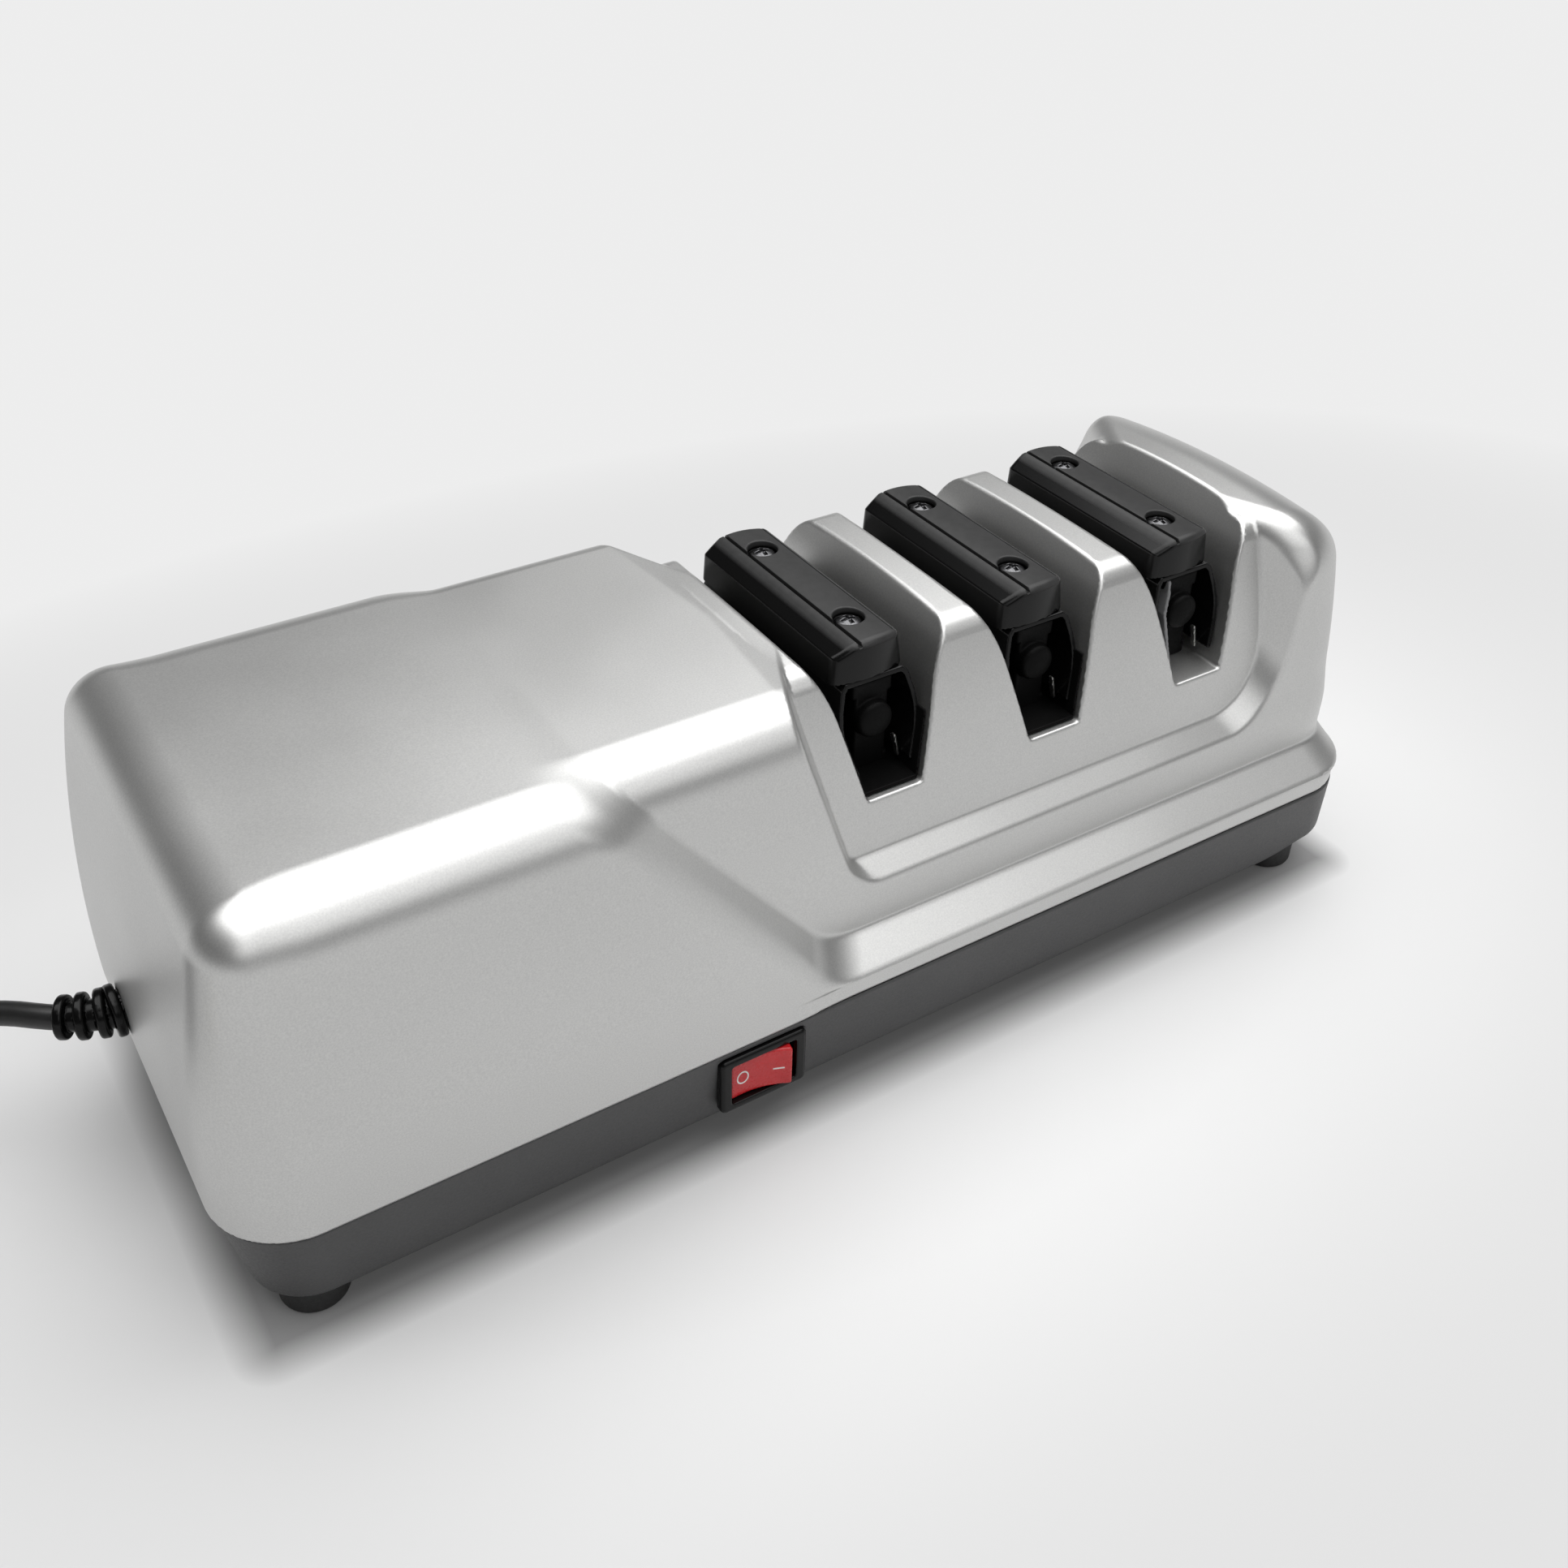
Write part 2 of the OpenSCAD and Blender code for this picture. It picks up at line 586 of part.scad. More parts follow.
module guide_bar(i) {
    left = -bar_top_hw - bar_bevel;
    color([0.05, 0.05, 0.05]) translate([stage_x(i), 0, 0]) difference() {
        y_prism(-bar_len / 2, bar_len / 2, [[left - 0.6, bar_bottom], [bar_foot_hw, bar_bottom],
            [bar_top_hw, bar_top - 1.2], [bar_top_hw - 0.6, bar_top - 0.6], [bar_top_hw - 3.4, bar_top - 0.1],
            [0, bar_top], [groove_x + 1, bar_top - 0.2], [-bar_top_hw + 0.3, bar_top - 0.9],
            [-bar_top_hw, bar_top - 1.1], [left + 0.4, bar_top - 2.2], [left, bar_top - 2.8]]);
        // Long groove beside the screws
        translate([groove_x - 0.35, -bar_len / 2 - 1, bar_top - 1]) cube([0.7, bar_len + 2, 2]);
        for (sy = [-1, 1]) translate([0, sy * bar_screw_y, 0]) {
            translate([0, 0, bar_top - 2]) cylinder(r = small_screw_d + 0.4, h = 5);
            translate([0, 0, bar_bottom - 1]) cylinder(r = small_screw_d / 2 + screw_gap, h = far, $fn = 24);
        }
    }
}

// Sprung leaf: a web under the bar and two arms that press the blade outward
module guide_spring(i) {
    top_hw = bar_foot_hw - 0.6;
    belly_z = notch_floor_z + 13.5;
    toe_z = notch_floor_z + 3.5;
    belly = notch_hw(belly_z) - leaf_gap;
    toe = notch_hw(toe_z) - leaf_gap;
    half = [[top_hw, bar_bottom], [belly, belly_z], [toe, toe_z], [toe - guide_t, toe_z],
        [belly - guide_t, belly_z], [top_hw - guide_t, beam_top]];
    color([0.07, 0.07, 0.07]) translate([stage_x(i), 0, 0]) difference() {
        intersection() {
            y_prism(-far, far, concat(half, [for (k = [len(half) - 1:-1:0]) [-half[k][0], half[k][1]]]));
            // Front and back edges follow the leaning panel
            x_prism(-far, far, mirrored([[panel_foot_hw - 1.6, panel_z], [panel_head_hw - 0.6, bar_bottom + 1]]));
        }
        // The arms stop short of the disks
        translate([-15, -16, notch_floor_z]) cube([30, 32, 10]);
        for (sy = [-1, 1]) translate([0, sy * bar_screw_y, beam_top - 1])
            cylinder(r = small_screw_d / 2 + screw_gap, h = 5, $fn = 24);
    }
}

// Portal frame that stands on the notch floor and carries the spring and the bar
module stage_frame(i) {
    color([0.35, 0.35, 0.36]) translate([stage_x(i), 0, 0]) difference() {
        union() {
            translate([-frame_w / 2, -post_out, beam_top - beam_h]) cube([frame_w, 2 * post_out, beam_h]);
            for (sy = [-1, 1]) {
                translate([-frame_w / 2, sy * (post_in + post_out) / 2 - (post_out - post_in) / 2, notch_floor_z])
                    cube([frame_w, post_out - post_in, beam_top - notch_floor_z - 1]);
                translate([0, sy * (post_in + post_out) / 2, notch_floor_z - wall])
                    cylinder(r = 1.5, h = wall + 1, $fn = 24);
            }
        }
        for (sy = [-1, 1]) translate([0, sy * bar_screw_y, beam_top - beam_h - 1])
            cylinder(r = small_screw_d / 2 + screw_gap, h = 9, $fn = 24);
    }
}

module guide_screws() {
    color([0.5, 0.5, 0.52]) for (i = [0:2], sy = [-1, 1]) translate([stage_x(i), sy * bar_screw_y, 0]) {
        translate([0, 0, bar_top - 2]) difference() {
            cylinder(r = small_screw_d - 0.1, h = 1.3);
            for (a = [0, 90]) rotate([0, 0, a]) translate([-1.6, -0.35, 0.6]) cube([3.2, 0.7, 1]);
        }
        translate([0, 0, beam_top - beam_h + 0.5])
            cylinder(r = small_screw_d / 2, h = bar_top - 2 - beam_top + beam_h, $fn = 24);
    }
}

// Grinding shaft

pin_r = 1.25;
pin_x = hub_x - pin_r;
module drive_shaft() {
    color([0.7, 0.7, 0.72]) difference() {
        x_rod(shaft_joint_x + 0.5, shaft_end_x, 0, shaft_z, shaft_r);
        for (i = [0:2], s = [-1, 1])
            translate([stage_x(i) + s * pin_x, 0, shaft_z - 10]) cylinder(r = pin_r + 0.01, h = 20, $fn = 24);
    }
}

module drive_pins() {
    color([0.6, 0.6, 0.62]) for (i = [0:2], s = [-1, 1])
        translate([stage_x(i) + s * pin_x, 0, shaft_z - hub_r + 1.2])
            cylinder(r = pin_r, h = 2 * hub_r - 2.4, $fn = 24);
}

// A disk faces away from the stage's middle: s is -1 for the left one
hub_face_x = rim_x + 2.8;
hub_in_x = disk_travel + 1.5;
module grind_disk(i, s, tone) {
    color(tone) translate([stage_x(i), 0, shaft_z]) rotate([0, s * 90, 0]) difference() {
        rotate_extrude($fn = 96) polygon([[shaft_r + 0.05, hub_in_x], [hub_r - 1.4, hub_in_x],
            [hub_r - 1.4, hub_face_x - disk_t], [disk_r - 0.4, rim_x - disk_t], [disk_r, rim_x - disk_t + 0.4],
            [disk_r, rim_x - 0.3], [disk_r - 0.3, rim_x], [hub_r, hub_face_x], [hub_r, hub_x], [shaft_r + 0.05, hub_x]]);
        // Slot in the hub for its drive pin
        translate([-hub_r - 1, -pin_r - 0.05, pin_x - pin_r - 0.03]) cube([2 * hub_r + 2, 2 * pin_r + 0.1, 10]);
    }
}

function web_x(r) = hub_face_x - disk_t + (rim_x - hub_face_x) * (r - hub_r + 1.4) / (disk_r - hub_r + 1);
module disk_spring(i) {
    turns = 4;
    r = hub_r + 1.6;
    x_end = web_x(r + spring_wire) - spring_wire / 2 - 0.2;
    line = [for (k = [0:8 * turns]) let (a = 360 * k / 8)
        [stage_x(i) - x_end + 2 * x_end * k / (8 * turns), r * cos(a), shaft_z + r * sin(a)]];
    color([0.65, 0.65, 0.68]) tube(line, spring_wire / 2, 6);
}

// Bearings of the grinding shaft

module bearing_block(x) {
    base = floor_z + block_pad_h;
    color([0.16, 0.16, 0.17]) difference() {
        union() {
            x_rod(x - block_w / 2, x + block_w / 2, 0, shaft_z, bush_d / 2 + 3.5);
            translate([x - block_w / 2, -bush_d / 2 - 3.5, base]) cube([block_w, bush_d + 7, shaft_z - base]);
            translate([x - block_w / 2, -block_foot_hw, base]) cube([block_w, 2 * block_foot_hw, block_foot_h]);
        }
        x_rod(x - block_w, x + block_w, 0, shaft_z, bush_d / 2 + 0.01);
        for (sy = [-1, 1]) translate([x, sy * block_screw_y, base - 1])
            cylinder(r = small_screw_d / 2 + screw_gap, h = block_foot_h + 2, $fn = 24);
    }
}

module bush(x) {
    color([0.72, 0.5, 0.26]) difference() {
        x_rod(x - bush_len / 2, x + bush_len / 2, 0, shaft_z, bush_d / 2);
        x_rod(x - bush_len, x + bush_len, 0, shaft_z, shaft_r + bush_gap);
    }
}

module drive_bushes() {
    bush(block_mid_x);
    bush(block_end_x);
}

module block_screws() {
    color([0.75, 0.75, 0.75]) for (x = [block_mid_x, block_end_x], sy = [-1, 1])
        translate([x, sy * block_screw_y, 0]) {
            translate([0, 0, foot_h + 1.6])
                cylinder(r = small_screw_d / 2, h = floor_z - foot_h + block_pad_h + 3.4, $fn = 24);
            translate([0, 0, floor_z + block_pad_h + block_foot_h])
                cylinder(r = small_screw_d - 0.2, h = 1.6, $fn = 6);
        }
}

// Motor

window_in = rotor_r + air_gap + 1;
window_out = window_in + 8;
window_h = 15;
module stator_core() {
    color([0.5, 0.5, 0.52]) difference() {
        translate([motor_x - stack_len / 2, 0, shaft_z]) rotate([90, 0, 90]) rounded_plate(stack_w, stack_h, 5, stack_len);
        x_rod(motor_x - far, motor_x + far, 0, shaft_z, rotor_r + air_gap);
        for (s = [-1, 1]) {
            translate([motor_x - far, s * (window_in + window_out) / 2 - 4, shaft_z - window_h])
                cube([2 * far, 8, 2 * window_h]);
            for (t = [-1, 1])
                x_rod(motor_x - far, motor_x + far, s * bolt_y, shaft_z + t * bolt_z, 2.1);
        }
    }
}

// Winding round a pole: t is 1 for the upper pole
module winding(t) {
    z0 = shaft_z + t * 5.5;
    z1 = shaft_z + t * (window_h - 0.4);
    out_x = stack_len / 2 + winding_overhang;
    color([0.62, 0.3, 0.12]) difference() {
        translate([motor_x, 0, min(z0, z1)]) rounded_plate(2 * out_x, 2 * window_out - 0.4, 8, abs(z1 - z0));
        translate([motor_x - stack_len / 2 - 0.6, -window_in - 0.2, shaft_z - 30])
            cube([stack_len + 1.2, 2 * window_in + 0.4, 60]);
    }
}

module rotor() {
    color([0.55, 0.55, 0.57]) difference() {
        x_rod(motor_x - stack_len / 2 + 1, motor_x + stack_len / 2 - 1, 0, shaft_z, rotor_r);
        x_rod(motor_x - far, motor_x + far, 0, shaft_z, shaft_r + 0.01);
    }
}

module motor_shaft() {
    color([0.7, 0.7, 0.72]) x_rod(bracket_l - bush_len + 2, shaft_joint_x - 0.5, 0, shaft_z, shaft_r);
}

// Middle of a motor bush, which stands out from its bracket away from the windings
function bush_x(x, s) = x + bracket_t / 2 + s * (bush_len - bracket_t) / 2;

// End bracket: a plate with a bush seat, four spacers to the stack and a foot
module motor_bracket(x, s) {
    inner = motor_x + s * stack_len / 2;
    foot_x = x + s * 6 + (s > 0 ? bracket_t : 0);
    color([0.62, 0.63, 0.64]) difference() {
        union() {
            translate([x, 0, shaft_z]) rotate([90, 0, 90]) rounded_plate(stack_w - 2, stack_h + 2, 5, bracket_t);
            for (sy = [-1, 1], t = [-1, 1])
                x_rod(min(x, inner), max(x, inner), sy * bolt_y, shaft_z + t * bolt_z, 4);
            x_rod(bush_x(x, s) - bush_len / 2, bush_x(x, s) + bush_len / 2, 0, shaft_z, bush_d / 2 + 3);
            for (sy = [-1, 1])
                translate([foot_x - 6, sy * bolt_y - 6, motor_foot_z]) cube([12, 12, 3]);
        }
        x_rod(x - 9, x + bracket_t + 9, 0, shaft_z, bush_d / 2 + 0.01);
        for (sy = [-1, 1]) {
            for (t = [-1, 1]) x_rod(motor_x - far, motor_x + far, sy * bolt_y, shaft_z + t * bolt_z, 2.1);
            translate([foot_x, sy * bolt_y, motor_foot_z - 1])
                cylinder(r = small_screw_d / 2 + screw_gap, h = 5, $fn = 24);
        }
    }
}

module motor_bushes() {
    bush(bush_x(bracket_l, -1));
    bush(bush_x(bracket_r, 1));
}

module motor_bolts() {
    color([0.7, 0.7, 0.7]) for (sy = [-1, 1], t = [-1, 1]) {
        x_rod(bracket_l - 3.4, bracket_r + bracket_t + 3.4, sy * bolt_y, shaft_z + t * bolt_z, 2);
        for (x = [bracket_l - 2.6, bracket_r + bracket_t])
            translate([x, sy * bolt_y, shaft_z + t * bolt_z]) rotate([0, 90, 0]) cylinder(r = 3.8, h = 2.6, $fn = 6);
    }
}

module motor_screws() {
    color([0.75, 0.75, 0.75]) for (x = [bracket_l - 6, bracket_r + bracket_t + 6], sy = [-1, 1])
        translate([x, sy * bolt_y, 0]) {
            translate([0, 0, floor_z + 0.8]) cylinder(r = small_screw_d / 2, h = motor_foot_z - floor_z + 2.4, $fn = 24);
            translate([0, 0, motor_foot_z + 3]) cylinder(r = small_screw_d - 0.2, h = 1, $fn = 32);
        }
}

module cooling_fan() {
    color([0.85, 0.85, 0.8]) difference() {
        union() {
            x_rod(fan_x, fan_x + fan_w, 0, shaft_z, 8);
            x_rod(fan_x + fan_w - 1.5, fan_x + fan_w, 0, shaft_z, fan_r);
            for (k = [0:fan_blades - 1]) translate([fan_x, 0, shaft_z]) rotate([360 * k / fan_blades, 0, 0])
                translate([0, -0.6, 7]) cube([fan_w - 1, 1.2, fan_r - 7.4]);
        }
        x_rod(fan_x - 1, fan_x + fan_w + 1, 0, shaft_z, shaft_r + 0.01);
    }
}

module shaft_coupling() {
    color([0.78, 0.7, 0.4]) difference() {
        x_rod(coupling_x, coupling_x + coupling_len, 0, shaft_z, shaft_r + 4.5);
        x_rod(coupling_x - 1, coupling_x + coupling_len + 1, 0, shaft_z, shaft_r + 0.01);
    }
}

// Switch

module switch_body() {
    color([0.05, 0.05, 0.05]) difference() {
        union() {
            translate([switch_x - bezel_w / 2, bezel_y, switch_z - bezel_h / 2]) cube([bezel_w, bezel_proud, bezel_h]);
            translate([switch_x - 9.3, pocket_y - 1, switch_z - 6.3]) cube([18.6, switch_depth, 12.6]);
        }
        translate([switch_x - 7.9, bezel_y - 1, switch_z - 5.5]) cube([15.8, 11.5, 11]);
        // Seats for the rocker's pins
        translate([switch_x, pivot_y, switch_z - 6]) cylinder(r = 1.25, h = 12, $fn = 32);
    }
}

module switch_rocker() {
    color([0.75, 0.1, 0.1]) translate([switch_x, pivot_y, switch_z]) rotate([0, 0, -rocker_tilt]) {
        translate([0, 0, -rocker_h / 2]) linear_extrude(rocker_h) polygon([[-rocker_w / 2, -4.2], [-3, -3.3],
            [0, -3.1], [3, -3.3], [rocker_w / 2, -4.2], [rocker_w / 2 - 0.2, 0.4], [2.6, 3.2], [-2.6, 3.2],
            [-rocker_w / 2 + 0.2, 0.4]]);
        translate([0, 0, -rocker_h / 2 - 0.5]) cylinder(r = 1.2, h = rocker_h + 1, $fn = 32);
    }
}

module switch_terminals() {
    color([0.8, 0.78, 0.65]) for (dx = [-5, 4])
        translate([switch_x + dx, switch_back_y, switch_z - 2.4]) cube([0.8, 8, 4.8]);
}

// Insulated leads inside the body, clear of the motor

lead_by_motor = stack_w / 2 + 3;
lead_low_z = floor_z + 1.8;
lead_routes = [
    [[cord_end_x + 1, outlet_y - 1.2, outlet_z], [x_left + 11, outlet_y - 7, 32], [x_left + 11, 0, 24],
     [x_left + 13, -8, 16], [x_left + 19, -12, lead_low_z], [motor_x - 10, -12, lead_low_z],
     [bracket_r + 6, -12, lead_low_z], [bracket_r + 18, -14, lead_low_z], [switch_x - 14, -21, 13],
     [switch_x - 9.5, switch_back_y + 3.6, switch_z - 1], [switch_x - 5.8, switch_back_y + 3, switch_z]],
    [[cord_end_x + 1, outlet_y + 1.6, outlet_z], [x_left + 11.5, outlet_y + 8, 33], [x_left + 14, 34, 38],
     [motor_x - 35, lead_by_motor + 3, 52], [motor_x - 28, lead_by_motor + 2, 66],
     [motor_x - 21.5, lead_by_motor - 1.5, 66], [motor_x - 18.5, 27, 65], [motor_x - 18.5, 21, 63.8]]
];
module inner_leads() {
    color([0.1, 0.2, 0.5]) for (r = lead_routes) tube(smooth(r, 3), 1, 6);
}

// Mains cord

cord_path = smooth(cord_route, 3);
relief_line = [for (i = [0:relief_ribs]) relief_point(i)];
neck_line = [[x_left + 7, outlet_y, outlet_z], [x_left - 1.2, outlet_y, outlet_z]];

module strain_relief() {
    color([0.06, 0.06, 0.06]) difference() {
        union() {
            // Ribs, shrinking toward the tip
            for (i = [0:relief_ribs - 1])
                let (a = relief_line[i], b = relief_line[i + 1])
                tube([a + 0.42 * (b - a), b], rib_r - 0.3 * i, 24);
            tube(concat([relief_point(0) + [1, 0, 0]], relief_line), rib_r - 1.6, 16);
            // Collar outside, neck through the wall and flange inside
            tube([[x_left - 2.2, outlet_y, outlet_z], [x_left - 0.2, outlet_y, outlet_z]], rib_r + 0.4, 24);
            tube(neck_line, relief_neck_r, 24);
            tube([[x_left + 7, outlet_y, outlet_z], [x_left + wall + 2, outlet_y, outlet_z]], relief_neck_r + 2, 24);
        }
        tube([for (k = [0:3 * relief_ribs + 5]) cord_path[k]], cord_d / 2 + 0.08, 8);
    }
}

module power_cord() {
    color([0.05, 0.05, 0.05]) tube(cord_path, cord_d / 2, 8);
}

module cord_coil() {
    color([0.05, 0.05, 0.05]) tube(concat([coil_start], coil_line, [coil_end]), cord_d / 2, 6);
}

module cord_tail() {
    color([0.05, 0.05, 0.05]) tube(smooth(tail_route, 3), cord_d / 2, 8);
}

module plug_body() {
    color([0.06, 0.06, 0.06]) translate(plug_at) rotate([90, 0, 0]) difference() {
        hull() {
            cylinder(r = cord_d / 2 + 1.4, h = 4, $fn = 24);
            translate([-10, -6.5, 12]) cube([20, 13, 3]);
            translate([-plug_w / 2, -6.8, 20]) cube([plug_w, 13.6, 15]);
        }
        translate([0, 0, -1]) cylinder(r = cord_d / 2 + 0.1, h = 4.5, $fn = 24);
    }
}

module plug_pins() {
    color([0.8, 0.78, 0.65]) for (s = [-1, 1]) translate(plug_at + [s * 9.3, -35, 0]) rotate([90, 0, 0]) {
        cylinder(r = 2, h = 18, $fn = 24);
        translate([0, 0, 18]) cylinder(r1 = 2, r2 = 1.2, h = 1, $fn = 24);
    }
}

// Least gap between neighbouring loops of the coil, and the cord's lengths
function run(p, i = 0) = i >= len(p) - 1 ? 0 : norm(p[i + 1] - p[i]) + run(p, i + 1);
loop_gap = min([for (a = [0:len(coil_line) - 1 - coil_steps]) let (b = a + coil_steps)
    min([for (c = [b - 6:min(b + 6, len(coil_line) - 1)]) norm(coil_line[c] - coil_line[a])])]) - cord_d;
echo(loop_gap = loop_gap, cord_total = run(smooth(cord_route, 3)) + run(coil_line) + run(smooth(tail_route, 3)));

upper_housing();
base_tray();
feet();
foot_screws();
housing_screws();
guide_bar(0);  // guide_bar_1
guide_bar(1);  // guide_bar_2
guide_bar(2);  // guide_bar_3
guide_spring(0);  // guide_spring_1
guide_spring(1);  // guide_spring_2
guide_spring(2);  // guide_spring_3
stage_frame(0);  // stage_frame_1
stage_frame(1);  // stage_frame_2
stage_frame(2);  // stage_frame_3
guide_screws();
drive_shaft();
drive_pins();
grind_disk(0, -1, [0.55, 0.55, 0.57]);  // disk_1_left
grind_disk(0, 1, [0.55, 0.55, 0.57]);  // disk_1_right
grind_disk(1, -1, [0.6, 0.6, 0.62]);  // disk_2_left
grind_disk(1, 1, [0.6, 0.6, 0.62]);  // disk_2_right
grind_disk(2, -1, [0.8, 0.76, 0.68]);  // disk_3_left
grind_disk(2, 1, [0.8, 0.76, 0.68]);  // disk_3_right
disk_spring(0);  // disk_spring_1
disk_spring(1);  // disk_spring_2
disk_spring(2);  // disk_spring_3
bearing_block(block_mid_x);  // bearing_block_mid
bearing_block(block_end_x);  // bearing_block_end
drive_bushes();
block_screws();
stator_core();
winding(1);  // winding_upper
winding(-1);  // winding_lower
rotor();
motor_shaft();
motor_bracket(bracket_l, -1);  // motor_bracket_left
motor_bracket(bracket_r, 1);  // motor_bracket_right
motor_bushes();
motor_bolts();
motor_screws();
cooling_fan();
shaft_coupling();
switch_body();
switch_rocker();
switch_terminals();
inner_leads();
strain_relief();
power_cord();
cord_coil();
cord_tail();
plug_body();
plug_pins();
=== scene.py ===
import json
from itertools import product
from math import cos, hypot, radians, sin

import bpy
import numpy as np
from mathutils import Matrix, Vector


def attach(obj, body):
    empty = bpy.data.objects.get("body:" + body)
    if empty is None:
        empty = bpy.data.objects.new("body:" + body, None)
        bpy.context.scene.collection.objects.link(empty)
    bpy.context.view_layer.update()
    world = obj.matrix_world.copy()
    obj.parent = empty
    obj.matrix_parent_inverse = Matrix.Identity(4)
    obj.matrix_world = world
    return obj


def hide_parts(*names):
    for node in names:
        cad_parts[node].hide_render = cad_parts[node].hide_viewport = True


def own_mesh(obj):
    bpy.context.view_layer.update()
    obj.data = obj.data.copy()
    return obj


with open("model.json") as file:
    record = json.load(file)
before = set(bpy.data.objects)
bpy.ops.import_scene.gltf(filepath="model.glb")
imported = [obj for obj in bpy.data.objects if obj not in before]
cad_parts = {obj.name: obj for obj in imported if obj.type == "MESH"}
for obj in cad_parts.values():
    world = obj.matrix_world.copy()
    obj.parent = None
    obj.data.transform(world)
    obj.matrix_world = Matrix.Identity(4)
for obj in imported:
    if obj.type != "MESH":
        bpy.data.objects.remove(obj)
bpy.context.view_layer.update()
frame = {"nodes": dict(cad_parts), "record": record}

MM = 0.001

# Sizes in millimetres, as in the part's source
X_LEFT, X_RIGHT = -145.0, 145.0
CORD_D = 5.2
OUTLET = (-145.0, 16.0, 36.0)


def metres(points):
    return [tuple(MM * c for c in p) for p in points]


def add_object(name, data):
    made = bpy.data.objects.new(name, data)
    bpy.context.collection.objects.link(made)
    return made


# Camera, fitted to the photograph: place in millimetres, turns in radians, lens in pixels

CAMERA_AT = (-161.05, -249.17, 268.15)
CAMERA_YAW, CAMERA_PITCH, CAMERA_ROLL = 0.58221, 0.64027, 0.02551
FOCAL_PX, FRAME_PX = 1975.18, 1932
SENSOR_MM = 36.0


def make_camera():
    ahead = Vector((sin(CAMERA_YAW) * cos(CAMERA_PITCH),
                    cos(CAMERA_YAW) * cos(CAMERA_PITCH),
                    -sin(CAMERA_PITCH)))
    level = Vector((cos(CAMERA_YAW), -sin(CAMERA_YAW), 0))
    upright = level.cross(ahead)
    right = cos(CAMERA_ROLL) * level + sin(CAMERA_ROLL) * upright
    up = cos(CAMERA_ROLL) * upright - sin(CAMERA_ROLL) * level
    data = bpy.data.cameras.new("camera")
    data.sensor_width = SENSOR_MM
    data.lens = FOCAL_PX / FRAME_PX * SENSOR_MM
    data.clip_start = 0.01
    camera = add_object("camera", data)
    turn = Matrix((right, up, -ahead)).transposed().to_4x4()
    camera.matrix_world = Matrix.Translation(MM * Vector(CAMERA_AT)) @ turn
    bpy.context.scene.camera = camera


# Cord, along the route that the part's source gives

RELIEF_RIBS, RIB_PITCH, RELIEF_BEND = 3, 3.7, 8.0
COIL_MID, COIL_R, COIL_PITCH = (-264.0, 34.0, 2.7), 30.0, 5.8
COIL_LOOPS, COIL_STEPS = 5.25, 24
PLUG_AT = (-303.0, -31.0, 6.9)

# From the strain relief to the coil, and from the coil to the plug
LEAD_ROUTE = [(-160, 22.5, 36), (-165, 27, 35.5), (-173, 33, 34), (-182, 38.5, 30.5), (-193, 44, 24.5),
              (-205, 49.5, 17), (-217, 54.5, 10), (-229, 59, 5.4), (-241, 62.3, 3.2), (-251, 63.8, 2.7)]
TAIL_ROUTE = [(-294.4, 19, 33), (-296, 7, 28.6), (-298.6, -5, 20.8), (-301, -17, 12.4), (-302.4, -25.5, 8)]


def relief_point(i):
    """Middle line of the strain relief, which bends a little with every rib."""
    if i == 0:
        return OUTLET[0] - 1, OUTLET[1], OUTLET[2]
    x, y, z = relief_point(i - 1)
    turn = radians(RELIEF_BEND * (i + 0.5))
    return x - RIB_PITCH * cos(turn), y + RIB_PITCH * sin(turn), z


def coil_points():
    """Rising turns of the coil, from its back round to its left."""
    mid_x, mid_y, low_z = COIL_MID
    for k in range(int(COIL_STEPS * COIL_LOOPS) + 1):
        a = radians(90 + 360 * k / COIL_STEPS)
        yield mid_x + COIL_R * cos(a), mid_y + COIL_R * sin(a), low_z + COIL_PITCH * k / COIL_STEPS


def cord_points():
    """Whole route of the cord, from just inside the housing to the plug."""
    inside = (X_LEFT + 8, OUTLET[1], OUTLET[2])
    relief = [relief_point(i) for i in range(RELIEF_RIBS + 1)]
    coil = list(coil_points())
    before = (coil[0][0] + CORD_D, coil[0][1], coil[0][2])
    after = (coil[-1][0], coil[-1][1] - CORD_D, coil[-1][2])
    return [inside, *relief, *LEAD_ROUTE, before, *coil, after, *TAIL_ROUTE, PLUG_AT]


def smooth(points, steps):
    """Catmull-Rom curve through the points."""
    p = np.array(points, float)
    p = np.vstack([p[:1], p, p[-1:]])
    t = np.linspace(0, 1, steps, endpoint=False)[:, None]
    parts = []
    for a, b, c, d in zip(p, p[1:], p[2:], p[3:]):
        parts.append(0.5 * (2 * b + (c - a) * t + (2 * a - 5 * b + 4 * c - d) * t ** 2
                            + (3 * b - a - 3 * c + d) * t ** 3))
    return np.vstack(parts + [p[-1:]])


def curve_piece(name, points, radius, sides=8):
    data = bpy.data.curves.new(name, "CURVE")
    data.dimensions = "3D"
    data.bevel_depth = radius * MM
    data.bevel_resolution = sides
    data.use_fill_caps = True
    spline = data.splines.new("POLY")
    spline.points.add(len(points) - 1)
    for point, at in zip(spline.points, metres(points)):
        point.co = (*at, 1)
    return add_object(name, data)


# Materials

# Colour sockets of a Mix node
MIX_A, MIX_B, MIX_RESULT = 6, 7, 2


